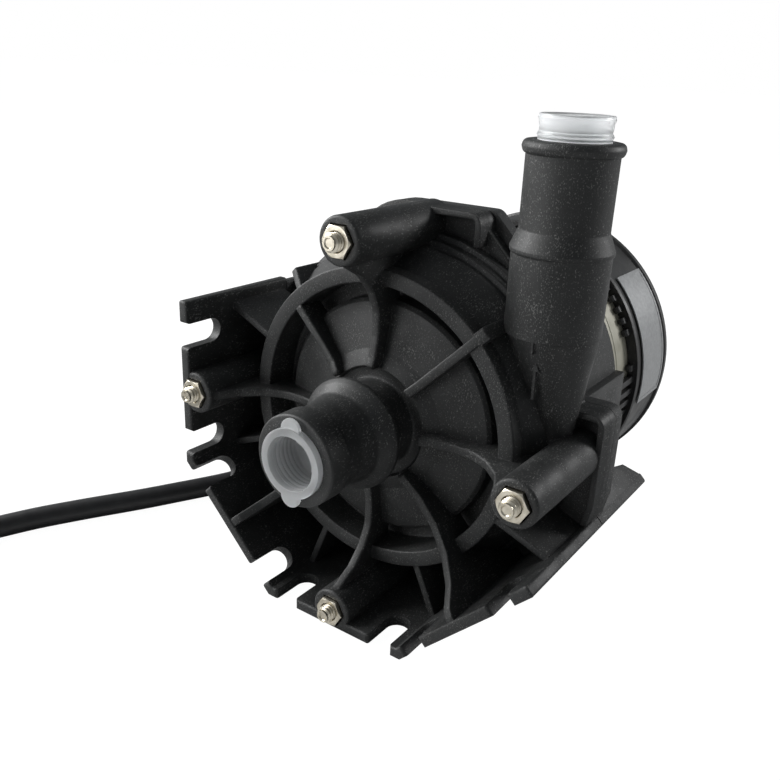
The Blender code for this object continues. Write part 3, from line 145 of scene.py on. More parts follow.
def turned(name, points, centre, axis, closed=False, steps=FINE):
    """A turned shape: a traced profile spun a whole turn about an axis."""
    piece = trace(name, points + points[:1] if closed else points)
    bpy.ops.mesh.spin(steps=steps, angle=2 * math.pi, center=centre, axis=axis, use_auto_merge=True)
    bpy.ops.mesh.select_all(action="SELECT")
    bpy.ops.mesh.remove_doubles(threshold=0.000004)
    bpy.ops.mesh.delete_loose()
    bpy.ops.mesh.select_all(action="SELECT")
    bpy.ops.mesh.normals_make_consistent(inside=False)
    bpy.ops.object.mode_set(mode="OBJECT")
    return piece


def turned_on_axis(name, profile, closed=False, steps=FINE):
    return turned(name, [place(r, d, 0) for r, d in profile], AXIS, BACK, closed, steps)


def turned_at(name, x, z, profile, closed=False, steps=48):
    """A turned shape on a line parallel to the pump axis."""
    return turned(name, [place(x + r, d, z) for r, d in profile], place(x, 0, z), BACK, closed, steps)


def turned_upright(name, x, depth, profile, closed=False, steps=96):
    return turned(name, [place(x + r, depth, h) for r, h in profile], place(x, depth, 0), UP, closed, steps)


def plate(name, points, push):
    """A flat outline pushed to a thickness."""
    piece = trace(name, points)
    bpy.ops.mesh.edge_face_add()
    bpy.ops.mesh.extrude_region_move(TRANSFORM_OT_translate={"value": push})
    bpy.ops.mesh.select_all(action="SELECT")
    bpy.ops.mesh.normals_make_consistent(inside=False)
    bpy.ops.object.mode_set(mode="OBJECT")
    return piece


def slab(name, outline, front, back):
    """A plate seen from the front: an outline across the pump axis between two depths."""
    return plate(name, [place(x, front, z) for x, z in outline], BACK * (back - front))


def rib(name, outline, angle, wall):
    """A plate that stands along the pump axis at an angle round it, from (radius, depth) points."""
    across = sideways(angle)
    return plate(name, [around(angle, r, d) - across * wall / 2 for r, d in outline], across * wall)


def box(name, low, high):
    centre = (Vector(low) + Vector(high)) / 2
    bpy.ops.object.select_all(action="DESELECT")
    bpy.ops.mesh.primitive_cube_add(size=1.0, location=centre, scale=Vector(high) - Vector(low))
    piece = bpy.context.object
    piece.name = name
    bpy.ops.object.transform_apply(location=True, rotation=True, scale=True)
    return piece


def change(piece, kind, **values):
    """Adds a modifier, sets it and applies it."""
    select_only(piece)
    bpy.ops.object.modifier_add(type=kind)
    step = piece.modifiers[-1]
    for key, value in values.items():
        setattr(step, key, value)
    bpy.ops.object.modifier_apply(modifier=step.name)
    return piece


def soften(piece, width, segments=2, angle=40):
    return change(piece, "BEVEL", width=width, segments=segments, limit_method="ANGLE",
                  angle_limit=math.radians(angle), use_clamp_overlap=True)


def combine(piece, others, operation):
    """One Boolean with a whole group of pieces, which are used up."""
    group = bpy.data.collections.new("tools")
    bpy.context.scene.collection.children.link(group)
    for other in others:
        for home in list(other.users_collection):
            home.objects.unlink(other)
        group.objects.link(other)
    change(piece, "BOOLEAN", operation=operation, operand_type="COLLECTION", collection=group, solver="EXACT")
    for other in others:
        bpy.data.objects.remove(other, do_unlink=True)
    bpy.data.collections.remove(group)
    return piece


def joined(piece, others):
    return combine(piece, others, "UNION")


def cut(piece, others):
    return combine(piece, others, "DIFFERENCE")


def smooth(piece, angle=32):
    select_only(piece)
    bpy.ops.object.shade_smooth_by_angle(angle=math.radians(angle))
    return piece


def filleted(corners, closed=True, steps=4):
    """Points of an outline whose (x, y, radius) corners are rounded."""
    points = []
    count = len(corners)
    for i, (x, y, radius) in enumerate(corners):
        here = Vector((x, y))
        if radius <= 0 or (not closed and i in (0, count - 1)):
            points.append((x, y))
            continue
        before = (Vector(corners[i - 1][:2]) - here).normalized()
        after = (Vector(corners[(i + 1) % count][:2]) - here).normalized()
        half = before.angle(after) / 2
        centre = here + (before + after).normalized() * radius / math.sin(half)
        start = here + before * radius / math.tan(half) - centre
        end = here + after * radius / math.tan(half) - centre
        turn = math.atan2(start.x * end.y - start.y * end.x, start.dot(end))
        for k in range(steps + 1):
            angle = turn * k / steps
            points.append((centre.x + start.x * math.cos(angle) - start.y * math.sin(angle),
                           centre.y + start.x * math.sin(angle) + start.y * math.cos(angle)))
    return points


def arc(x, y, radius, start, end, steps):
    turns = [math.radians(start + (end - start) * i / steps) for i in range(steps + 1)]
    return [(x + radius * math.cos(t), y + radius * math.sin(t)) for t in turns]


def hexagon(x, z, flats):
    return [(x + px, z + pz) for px, pz in arc(0, 0, flats / 2 / math.cos(math.pi / 6), 0, 300, 5)]


# Materials

def blank(name):
    made = bpy.data.materials.new(name)
    made.use_nodes = True
    return made, made.node_tree.nodes, made.node_tree.links, made.node_tree.nodes["Principled BSDF"]


def noise(nodes, links, coords, scale, detail=3.0, roughness=0.5):
    node = nodes.new("ShaderNodeTexNoise")
    node.inputs["Scale"].default_value = scale
    node.inputs["Detail"].default_value = detail
    node.inputs["Roughness"].default_value = roughness
    links.new(coords, node.inputs["Vector"])
    return node


def ramp(nodes, links, source, stops):
    node = nodes.new("ShaderNodeValToRGB")
    elements = node.color_ramp.elements
    while len(elements) < len(stops):
        elements.new(0.5)
    for element, (position, colour) in zip(elements, stops):
        element.position = position
        element.color = (*colour, 1)
    links.new(source, node.inputs["Fac"])
    return node


def grey(value):
    return (value, value, value)


def stretched(nodes, links, coords, scale):
    node = nodes.new("ShaderNodeMapping")
    node.inputs["Scale"].default_value = scale
    links.new(coords, node.inputs["Vector"])
    return node.outputs["Vector"]


def bumped(nodes, links, height, strength, distance):
    node = nodes.new("ShaderNodeBump")
    node.inputs["Strength"].default_value = strength
    node.inputs["Distance"].default_value = distance
    links.new(height, node.inputs["Height"])
    return node


def seen_directly(nodes, links):
    """One for a ray that comes from the camera, also through clear plastic, and nought for others."""
    path = nodes.new("ShaderNodeLightPath")
    either = nodes.new("ShaderNodeMath")
    either.operation = "MAXIMUM"
    links.new(path.outputs["Is Camera Ray"], either.inputs[0])
    links.new(path.outputs["Is Transmission Ray"], either.inputs[1])
    return either.outputs["Value"]


def moulded_plastic(name, dark, light, speck, rough, grain, rounding):
    """Glass filled black plastic: a mottled charcoal with short pale fibres and a fine eroded grain."""
    made, nodes, links, shader = blank(name)
    coords = nodes.new("ShaderNodeTexCoord").outputs["Object"]
    clouds = noise(nodes, links, coords, 90, 5)
    mottle = ramp(nodes, links, clouds.outputs["Fac"], ((0.30, dark), (0.75, light)))
    fibres = noise(nodes, links, stretched(nodes, links, coords, (1.0, 0.35, 0.55)), 3800, 2)
    patches = noise(nodes, links, coords, 140, 3)
    where = nodes.new("ShaderNodeMath")
    where.operation = "MULTIPLY_ADD"
    where.inputs[1].default_value = 0.22
    links.new(patches.outputs["Fac"], where.inputs[0])
    links.new(fibres.outputs["Fac"], where.inputs[2])
    mask = ramp(nodes, links, where.outputs["Value"], ((0.70, grey(0.0)), (0.88, grey(1.0))))
    blend = nodes.new("ShaderNodeMix")
    blend.data_type = "RGBA"
    links.new(mask.outputs["Color"], blend.inputs["Factor"])
    links.new(mottle.outputs["Color"], blend.inputs["A"])
    blend.inputs["B"].default_value = (*speck, 1)
    links.new(blend.outputs["Result"], shader.inputs["Base Color"])
    gloss = ((0.35, grey(rough - 0.07)), (0.70, grey(rough + 0.08)))
    wear = ramp(nodes, links, patches.outputs["Fac"], gloss)
    links.new(wear.outputs["Color"], shader.inputs["Roughness"])
    shader.inputs["Specular IOR Level"].default_value = 0.42
    pits = noise(nodes, links, coords, 3400, 2)
    bump = bumped(nodes, links, pits.outputs["Fac"], grain, 0.00012)
    edges = nodes.new("ShaderNodeBevel")
    edges.samples = 4
    edges.inputs["Radius"].default_value = rounding
    links.new(edges.outputs["Normal"], bump.inputs["Normal"])
    links.new(bump.outputs["Normal"], shader.inputs["Normal"])
    return made


def machined_metal(name, low, high, rough, scratch):
    """Plated or rolled metal with a little tarnish and fine directional marks."""
    made, nodes, links, shader = blank(name)
    shader.inputs["Metallic"].default_value = 1.0
    coords = nodes.new("ShaderNodeTexCoord").outputs["Object"]
    tarnish = noise(nodes, links, coords, 420, 4)
    tint = ramp(nodes, links, tarnish.outputs["Fac"], ((0.30, low), (0.70, high)))
    links.new(tint.outputs["Color"], shader.inputs["Base Color"])
    spread = ramp(nodes, links, tarnish.outputs["Fac"], ((0.30, grey(rough + 0.12)), (0.75, grey(rough))))
    links.new(spread.outputs["Color"], shader.inputs["Roughness"])
    marks = noise(nodes, links, stretched(nodes, links, coords, (1.0, 14.0, 1.0)), 900, 2)
    bump = bumped(nodes, links, marks.outputs["Fac"], scratch, 0.00005)
    links.new(bump.outputs["Normal"], shader.inputs["Normal"])
    return made


def plain_finish(name, low, high, rough, scale=300, metallic=0.0, grain=0.15):
    """A quiet finish with a little variation in colour, gloss and surface."""
    made, nodes, links, shader = blank(name)
    shader.inputs["Metallic"].default_value = metallic
    coords = nodes.new("ShaderNodeTexCoord").outputs["Object"]
    cloud = noise(nodes, links, coords, scale, 4)
    tint = ramp(nodes, links, cloud.outputs["Fac"], ((0.30, low), (0.70, high)))
    links.new(tint.outputs["Color"], shader.inputs["Base Color"])
    gloss = ((0.30, grey(rough - 0.05)), (0.70, grey(rough + 0.05)))
    spread = ramp(nodes, links, cloud.outputs["Fac"], gloss)
    links.new(spread.outputs["Color"], shader.inputs["Roughness"])
    fine = noise(nodes, links, coords, scale * 8, 2)
    bump = bumped(nodes, links, fine.outputs["Fac"], grain, 0.00006)
    links.new(bump.outputs["Normal"], shader.inputs["Normal"])
    return made


def milky_plastic():
    """Soft translucent plug plastic with cloudy walls and faint flow marks."""
    made, nodes, links, shader = blank("milky_plug_plastic")
    coords = nodes.new("ShaderNodeTexCoord").outputs["Object"]
    cloud = noise(nodes, links, coords, 260, 4)
    tint = ramp(nodes, links, cloud.outputs["Fac"], ((0.30, (0.86, 0.88, 0.89)), (0.75, (0.95, 0.955, 0.96))))
    links.new(tint.outputs["Color"], shader.inputs["Base Color"])
    shader.inputs["Roughness"].default_value = 0.28
    shader.inputs["IOR"].default_value = 1.28
    shader.inputs["Transmission Weight"].default_value = 0.78
    flow = noise(nodes, links, coords, 520, 3)
    bump = bumped(nodes, links, flow.outputs["Fac"], 0.25, 0.0002)
    links.new(bump.outputs["Normal"], shader.inputs["Normal"])
    return made


CASING_BLACK = moulded_plastic("casing_black", (0.009, 0.0095, 0.0095), (0.019, 0.020, 0.020),
                               (0.15, 0.15, 0.145), 0.56, 0.35, 0.00035)
COVER_BLACK = moulded_plastic("cover_black", (0.014, 0.014, 0.014), (0.022, 0.022, 0.022), (0.05, 0.05, 0.05),
                              0.48, 0.15, 0.0003)
SHEATH_BLACK = plain_finish("sheath_black", (0.008, 0.008, 0.009), (0.014, 0.014, 0.015), 0.46, 400, 0.0, 0.2)
NICKEL = machined_metal("nickel", (0.50, 0.46, 0.37), (0.78, 0.73, 0.62), 0.26, 0.35)
STAINLESS = machined_metal("stainless", (0.50, 0.50, 0.48), (0.66, 0.66, 0.64), 0.28, 0.3)
LAMINATION = machined_metal("lamination", (0.20, 0.19, 0.18), (0.36, 0.35, 0.33), 0.42, 0.5)
COPPER = machined_metal("copper", (0.42, 0.15, 0.05), (0.60, 0.25, 0.10), 0.30, 0.5)
CAN_CREAM = plain_finish("can_cream", (0.40, 0.385, 0.31), (0.47, 0.455, 0.38), 0.40, 200, 0.15, 0.1)
LABEL_SILVER = plain_finish("label_silver", (0.26, 0.265, 0.27), (0.36, 0.365, 0.37), 0.42, 900, 0.25, 0.3)
SEAL_RUBBER = plain_finish("seal_rubber", (0.010, 0.010, 0.010), (0.016, 0.016, 0.016), 0.62)
CERAMIC = plain_finish("ceramic", (0.80, 0.79, 0.75), (0.86, 0.85, 0.82), 0.14)
CARBON = plain_finish("carbon", (0.020, 0.020, 0.020), (0.034, 0.034, 0.034), 0.42)
IMPELLER_CREAM = plain_finish("impeller_cream", (0.48, 0.45, 0.37), (0.56, 0.53, 0.45), 0.42)
FERRITE = plain_finish("ferrite", (0.070, 0.070, 0.072), (0.105, 0.105, 0.108), 0.58)
BOARD_GREEN = plain_finish("board_green", (0.020, 0.120, 0.050), (0.035, 0.180, 0.080), 0.40)
CAP_SLEEVE = plain_finish("capacitor_sleeve", (0.035, 0.035, 0.090), (0.050, 0.050, 0.130), 0.34)
NYLON = plain_finish("nylon", (0.68, 0.67, 0.61), (0.76, 0.75, 0.70), 0.42)
MILKY = milky_plastic()


def dress(piece, look, slot, body, *nodes):
    """Gives a finished piece its material, its body and the solids that it stands for."""
    piece.data.materials.clear()
    piece.data.materials.append(look)
    smooth(piece)
    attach(piece, body)
    if nodes:
        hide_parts(*nodes)
    return piece


# Camera, fitted to the photograph

SENSOR = 36.0
FOCAL_PIXELS = 831.33
PICTURE_PIXELS = 780
CAMERA_RIGHT = (0.8142, 0.5790, 0.0431)
CAMERA_UP = (-0.2409, 0.2694, 0.9324)
CAMERA_BACK = (0.5283, -0.7695, 0.3588)
CAMERA_PLACE = (0.1280, -0.1906, 0.1546)


def camera():
    data = bpy.data.cameras.new("camera")
    data.sensor_width = SENSOR
    data.lens = SENSOR * FOCAL_PIXELS / PICTURE_PIXELS
    data.clip_start = 0.01
    eye = bpy.data.objects.new("camera", data)
    matrix = Matrix((CAMERA_RIGHT, CAMERA_UP, CAMERA_BACK)).transposed().to_4x4()
    matrix.translation = CAMERA_PLACE
    eye.matrix_world = matrix
    bpy.context.scene.collection.objects.link(eye)
    bpy.context.scene.camera = eye


camera()

# Lead: x, depth and height of each point from the gland's mouth to the coil, as in the solids
CORD_ROUTE = (
    (-0.0606, 0.1170, 0.0176), (-0.0664, 0.1166, 0.0135), (-0.0717, 0.1145, 0.0095),
    (-0.0762, 0.1100, 0.0063), (-0.0790, 0.1035, 0.0045), (-0.0803, 0.0955, 0.0039),
    (-0.0800, 0.0860, 0.0038), (-0.0792, 0.0740, 0.0038), (-0.0793, 0.0620, 0.0038),
    (-0.0808, 0.0500, 0.0038), (-0.0840, 0.0400, 0.0038), (-0.0877, 0.0315, 0.0038),
    (-0.0918, 0.0230, 0.0038), (-0.0964, 0.0135, 0.0038), (-0.1009, 0.0050, 0.0038),
    (-0.1053, -0.0030, 0.0038), (-0.1100, -0.0120, 0.0038), (-0.1146, -0.0215, 0.0038),
    (-0.1185, -0.0315, 0.0038), (-0.1216, -0.0393, 0.0038), (-0.1264, -0.0507, 0.0040),
)
TAIL_ROUTE = (
    (-0.2054, -0.0391, 0.0062), (-0.2026, -0.0336, 0.0050),
    (-0.2010, -0.0271, 0.0044), (-0.2005, -0.0216, 0.0043),
)
COIL_CENTRE = Vector((-0.1680, -0.0625 - ORIGIN_DEPTH, 0))
GLAND_OUT = outward(GLAND_ANGLE)
GLAND_BASE = place(0, GLAND_DEPTH, 0) + GLAND_OUT * 0.0495


def smooth_line(points, steps):
    """A smooth curve through points."""
    ends = [points[0] * 2 - points[1], *points, points[-1] * 2 - points[-2]]
    line = []
    for i in range(1, len(ends) - 2):
        a, b, c, d = ends[i - 1:i + 3]
        for k in range(steps):
            t = k / steps
            line.append(0.5 * (2 * b + (c - a) * t + (2 * a - 5 * b + 4 * c - d) * t * t
                               + (3 * b - a - 3 * c + d) * t * t * t))
    line.append(points[-1])
    return line


def coil_points():
    """About three and a half turns laid clockwise: two side by side on the floor and the rest over them."""
    start, end = -22.0, -22.0 - 3 * 360 - 188
    outer, inner = 0.0379, 0.0301
    low, high = 0.0040, 0.0117
    points = []
    count = 120
    for i in range(count + 1):
        angle = start + (end - start) * i / count
        turns = (start - angle) / 360
        step = [min(max((turns - at) / 0.30, 0), 1) for at in (0.85, 1.85, 2.85)]
        ease = [t * t * (3 - 2 * t) for t in step]
        ring = outer + (inner - outer) * (ease[0] - ease[2])
        height = low + (high - low) * ease[1]
        if turns > 3.2:
            ring = outer - 0.0002
        turn = math.radians(angle)
        x, y = COIL_CENTRE.x + ring * math.cos(turn), COIL_CENTRE.y + ring * math.sin(turn)
        points.append(Vector((x, y, height)))
    return points


def lead():
    """The whole lead as one curve, with the point where it leaves the gland and its length."""
    start = GLAND_BASE + GLAND_OUT * 0.0190
    second = GLAND_BASE + GLAND_OUT * 0.0260
    route = [start, second] + [Vector((x, d - ORIGIN_DEPTH, z)) for x, d, z in CORD_ROUTE]
    tail = [Vector((x, d - ORIGIN_DEPTH, z)) for x, d, z in TAIL_ROUTE]
    points = smooth_line(route + coil_points()[1:-2] + tail, 3)
    data = bpy.data.curves.new("lead", "CURVE")
    data.dimensions = "3D"
    data.bevel_depth = CORD_RADIUS
    data.bevel_resolution = 5
    data.use_fill_caps = True
    spline = data.splines.new("POLY")
    spline.points.add(len(points) - 1)
    for knot, point in zip(spline.points, points):
        knot.co = (*point, 1)
    piece = bpy.data.objects.new("lead", data)
    bpy.context.scene.collection.objects.link(piece)
    data.materials.append(SHEATH_BLACK)
    length = sum((b - a).length for a, b in zip(points, points[1:]))
    return piece, start, length


LEAD, LEAD_EXIT, LEAD_LENGTH = lead()
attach(LEAD, "pump_body")
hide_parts("supply_cord", "cord_coil", "cord_tail")


def gland_axes(origin):
    """Axes at a point, with the gland's direction as Z."""
    matrix = Matrix((GLAND_OUT.cross(BACK), BACK, GLAND_OUT)).transposed().to_4x4()
    matrix.translation = origin
    return matrix


def turned_on_gland(name, origin, profile, closed=False):
    """A turned shape on the gland's axis, from (radius, height) points over an origin."""
    axes = gland_axes(origin)
    return turned(name, [axes @ Vector((r, 0, h)) for r, h in profile], origin, GLAND_OUT, closed, 48)


def gland():
    """Gland nut with a ribbed, tapered strain relief."""
    axes = gland_axes(GLAND_BASE)
    flats = [axes @ Vector((x, y, 0)) for x, y in hexagon(0, 0, 0.0135)]
    nut = plate("cable_gland_piece", flats, GLAND_OUT * 0.0070)
    soften(nut, 0.0006, 3)
    profile = [(GLAND_BORE, 0.0300), (0.0052, 0.0300)]
    for k in range(6):
        base = 0.0282 - k * 0.0034
        radius = 0.0054 + k * 0.00030
        profile += [(radius, base + 0.0010), (radius, base - 0.0010), (radius - 0.0009, base - 0.0012),
                    (radius - 0.0009, base - 0.0021)]
    profile += [(0.0074, 0.0080), (0.0074, 0.0060), (GLAND_BORE, 0.0060)]
    tail = turned_on_gland("tail", GLAND_BASE, profile, closed=True)
    bore = [(0, 0.031), (GLAND_BORE, 0.031), (GLAND_BORE, 0.0185), (0, 0.0185)]
    return cut(joined(nut, [tail]), [turned_on_gland("hole", GLAND_BASE, bore)])


GLAND = dress(gland(), SHEATH_BLACK, "lead_black", "pump_body", "cable_gland")


def connector():
    """Generic three pole connector: a ribbed grip behind an open shroud, set on the tail's end."""
    shell = soften(box("connector_shell", (-0.0129, -0.0099, 0.0001), (0.0129, 0.0099, 0.0109)), 0.0012, 3)
    cutters = [soften(box("hollow", (0.0047, -0.0082, 0.0018), (0.0169, 0.0082, 0.0092)), 0.0008, 2)]
    groove, pitch = 0.0012, 0.0024
    for k in range(5):
        x = -0.0099 + k * pitch
        cutters.append(box("groove", (x, -0.011, 0.0101), (x + groove, 0.011, 0.0120)))
        for side in (-1, 1):
            low, high = sorted((side * 0.0091, side * 0.0110))
            cutters.append(box("groove", (x, low, -0.001), (x + groove, high, 0.0120)))
    shell = cut(shell, cutters)
    end, before = (Vector((x, d - ORIGIN_DEPTH, 0)) for x, d, _ in (TAIL_ROUTE[-1], TAIL_ROUTE[-2]))
    ahead = (end - before).normalized()
    select_only(shell)
    bpy.ops.transform.rotate(value=-math.atan2(ahead.y, ahead.x), orient_axis="Z", center_override=(0, 0, 0))
    bpy.ops.transform.translate(value=end + ahead * 0.0133)
    bpy.ops.object.transform_apply(location=True, rotation=True, scale=True)
    return shell


CONNECTOR = dress(connector(), NYLON, "connector_nylon", "pump_body", "cord_connector")


# Volute casing

def foot_trough(name, outside, left_end, right_end, front, back):
    """The half octagon foot: four plates bent at the corners; the callers round its long edges."""
    def end(side, apothem, along):
        turn = math.radians(side)
        return (apothem * math.cos(turn) - along * math.sin(turn),
                apothem * math.sin(turn) + along * math.cos(turn))

    def corner(apothem, angle):
        point = around(angle, apothem / math.cos(math.pi / 8))
        return (point.x, point.z - AXIS_Z)

    inside = outside - FOOT_WALL
    outline = [end(180, outside, -left_end)] + [corner(outside, a) for a in (202.5, 247.5, 292.5)]
    outline += [end(315, outside, right_end), end(315, inside, right_end)]
    outline += [corner(inside, a) for a in (292.5, 247.5, 202.5)] + [end(180, inside, -left_end)]
    return slab(name, outline, front, back)


def foot_slots():
    """Eight open slots with flared, rounded mouths."""
    slots = []
    for side in FOOT_SIDES:
        out, along = outward(side), sideways(side)
        for sign in (-1, 1):
            half = SLOT_WIDTH / 2
            bottom = SLOT_DEPTH - half
            flare = 0.0013
            shape = [(-half - 0.004, -0.004), (half + 0.004, -0.004)]
            shape += [(half + flare, -0.0005)] + arc(half + flare, flare, flare, 270, 180, 4)
            shape += arc(0, bottom, half, 0, 180, 14)
            shape += arc(-half - flare, flare, flare, 0, -90, 4) + [(-half - flare, -0.0005)]
            base = around(side, FOOT_APOTHEM - FOOT_WALL * 2) + along * sign * SLOT_PITCH / 2
            slots.append(plate("slot", [base + along * s + BACK * d for s, d in shape], out * FOOT_WALL * 3))
    return slots


def casing_profile():
    """Outside of the casing from the inlet's lip to the flange, then back through the wet side."""
    outside = [
        (9.6, -15.6, 0), (9.6, -16.0, 0), (12.75, -16.0, 0.7), (12.75, -8.9, 0.4), (12.0, -8.2, 0.3),
        (12.0, -2.6, 6), (12.9, 2.8, 3), (15.2, 5.6, 2), (16.1, 7.0, 0.8), (16.1, 8.3, 0.7),
        (13.0, 10.0, 0.6), (12.9, 19.4, 0.8), (16.2, 19.4, 0.4), (16.7, 18.1, 0.3), (21.2, 20.6, 1.0),
        (34.2, 23.4, 0.6), (35.3, 24.4, 0.4), (35.3, 29.0, 0.6), (40.3, 29.0, 0.6), (40.3, 18.1, 0.4),
        (45.0, 18.1, 0.5), (45.0, 22.6, 1.2), (50.0, 31.6, 0.8), (50.0, 34.0, 0.4), (51.6, 34.4, 0.4),
        (51.6, 37.0, 0.4), (53.1, 37.4, 0.4), (53.1, 45.0, 0), (41.9, 45.0, 0), (41.9, 32.0, 0.8),
        (33.2, 32.0, 0.4), (33.2, 26.6, 0.4), (16.5, 23.1, 0), (9.6, 23.1, 0),
    ]
    return filleted([(r * MM, d * MM, f * MM) for r, d, f in outside], closed=True, steps=3)


def rib_shape(kind):
    """Side view of a rib as (radius, depth) points."""
    if kind == "boss":
        front = [(16.8, 14.4, 1.0), (20.0, 16.0, 2), (26.0, 17.1, 3), (33.2, 17.1, 8), (39.2, 14.2, 6),
                 (44.2, 9.4, 5), (47.2, 3.6, 3), (48.6, 1.2, 0.6), (51.0, 1.2, 0), (51.0, 43.2, 0),
                 (44.0, 43.2, 0), (44.0, 27.0, 0), (16.8, 27.0, 0)]
    elif kind == "arm":
        front = [(16.8, 14.8, 1.0), (25.0, 16.2, 3), (34.0, 15.4, 8), (42.0, 12.5, 8), (49.0, 7.4, 7),
                 (53.6, 1.6, 3), (55.6, 0.5, 0.4), (57.6, 0.4, 0), (57.6, 43.2, 0), (44.0, 43.2, 0),
                 (44.0, 27.0, 0), (16.8, 27.0, 0)]
    elif kind == "outlet":
        front = [(16.8, 15.0, 1.0), (21.0, 16.8, 2), (27.0, 17.4, 2), (48.2, 17.4, 0.5), (48.2, 39.0, 0),
                 (44.0, 39.0, 0), (44.0, 27.0, 0), (16.8, 27.0, 0)]
    else:
        front = [(16.8, 15.0, 1.0), (21.0, 16.8, 2), (27.0, 17.4, 2), (40.3, 17.8, 1), (42.0, 20.0, 1),
                 (46.6, 23.0, 1), (52.7, 25.6, 0.8), (52.7, 43.2, 0), (44.0, 43.2, 0), (44.0, 27.0, 0),
                 (16.8, 27.0, 0)]
    return filleted([(r * MM, d * MM, f * MM) for r, d, f in front])


def flange_outline(inset, full):
    """The flange from the front. At the upper right the bracket's reaches further out than the casing's."""
    mid = FOOT_APOTHEM - FOOT_WALL / 2 - inset
    chord = CHORD - inset * 1.4
    beyond = BRACKET_CHORD - inset * 1.4
    top, side, over = 0.060 - inset, EAR_SIDE - inset, EAR_SIDE_TOP - inset
    if full:
        ears = [(beyond - top, top, 0.0035), (0.0470, beyond - 0.0470, 0.0006), (0.0470, over, 0.0006)]
    else:
        ears = [(0.020 - inset, top, 0.0035), (0.020 - inset, chord - 0.020 + inset, 0.0006),
                (EAR_SIDE_IN, chord - EAR_SIDE_IN, 0.0006), (EAR_SIDE_IN, over, 0.0006)]
    corners = [(-mid, chord - mid, 0), (top - chord, top, 0.018), *ears, (side, over, 0.0035),
               (side, -0.0140, 0.0045), (side - 0.0015, -0.0210, 0)]
    outline = filleted(corners, steps=6)
    for angle in (337.5, 292.5, 247.5, 202.5):
        point = around(angle, mid / math.cos(math.pi / 8))
        outline.append((point.x, point.z - AXIS_Z))
    return outline


def ear_walls():
    """Raised walls round the two free ears."""
    wall = 0.0018
    front, back = SPLIT - 0.0083, SPLIT - 0.0030
    tiny = 0.00006
    top, end, side, over_side = 0.060 - tiny, 0.020 - tiny, EAR_SIDE - tiny, EAR_SIDE_TOP - tiny
    over = filleted([(0.0030, top, 0), (0.0030, top - wall, 0), (end - wall, top - wall, 0.0012),
                     (end - wall, 0.0508, 0), (end, 0.0508, 0.0003), (end, top, 0.0035)])
    beside = filleted([(EAR_SIDE_IN, over_side, 0), (EAR_SIDE_IN, over_side - wall, 0),
                       (side - wall, over_side - wall, 0.0012), (side - wall, -0.0140, 0),
                       (side - wall - 0.0013, -0.0202, 0), (side - 0.0013, -0.0202, 0),
                       (side, -0.0140, 0.002), (side, over_side, 0.0035)])
    return [soften(slab("ear_wall", line, front, back), 0.0003) for line in (over, beside)]


def hose_tail():
    """Outlet hose tail with its bead and sloping stop collar."""
    profile = [(0, 80.8, 0), (10.6, 80.8, 0.4), (12.1, 80.8, 1.3), (12.5, 79.2, 0.6), (12.1, 77.7, 1.2),
               (11.4, 77.5, 0.2), (11.35, 59.6, 0.5), (13.2, 55.0, 0.3), (13.15, 54.2, 0.3),
               (12.7, 53.6, 0.3), (12.6, 33.0, 0), (0, 33.0, 0)]
    points = filleted([(r * MM, h * MM, f * MM) for r, h, f in profile], closed=False, steps=4)
    return turned_upright("hose_tail", OUTLET_X, OUTLET_DEPTH, points)


def cone(name, low, low_radius, high, high_radius, sides=96):
    """A leaning cone: the lower half of a ball, whose rim is extruded upwards and widened in steps."""
    rings = 18
    bpy.ops.object.select_all(action="DESELECT")
    bpy.ops.mesh.primitive_uv_sphere_add(segments=sides, ring_count=rings * 2, radius=low_radius,
                                         location=low)
    ball = bpy.context.object
    ball.name = name
    bpy.ops.object.transform_apply(location=True, rotation=True, scale=True)
    bpy.ops.object.mode_set(mode="EDIT")
    bpy.ops.mesh.select_all(action="DESELECT")
    bpy.ops.object.mode_set(mode="OBJECT")
    edge = low.z + low_radius * 0.02
    for face in ball.data.polygons:
        face.select = face.center.z > edge
    bpy.ops.object.mode_set(mode="EDIT")
    bpy.ops.mesh.delete(type="FACE")
    bpy.ops.mesh.select_all(action="DESELECT")
    bpy.ops.mesh.select_non_manifold()
    steps = 10
    for k in range(steps):
        before = low_radius + (high_radius - low_radius) * k / steps
        after = low_radius + (high_radius - low_radius) * (k + 1) / steps
        bpy.ops.mesh.extrude_edges_move(TRANSFORM_OT_translate={"value": (high - low) / steps})
        centre = low + (high - low) * (k + 1) / steps
        bpy.ops.transform.resize(value=(after / before, after / before, 1), center_override=centre)
    bpy.ops.mesh.edge_face_add()
    bpy.ops.mesh.select_all(action="SELECT")
    bpy.ops.mesh.normals_make_consistent(inside=False)
    bpy.ops.object.mode_set(mode="OBJECT")
    return ball


def flow_arrows():
    """Small raised flow arrows on the front of the diffuser."""
    arrows = []
    for x, z, size in ((0.0452, 0.0335, 0.7), (0.0458, 0.0225, 1.0)):
        half, head, long = 0.00035 * size, 0.0013 * size, 0.0050 * size
        outline = [(-half, -long), (half, -long), (half, long - 0.0022), (head, long - 0.0026), (0, long),
                   (-head, long - 0.0026), (-half, long - 0.0022)]
        depth = OUTLET_DEPTH - (0.0126 if z > 0.03 else 0.0107)
        arrows.append(slab("arrow", [(x + px, z + pz) for px, pz in outline], depth, depth + 0.0030))
    return arrows


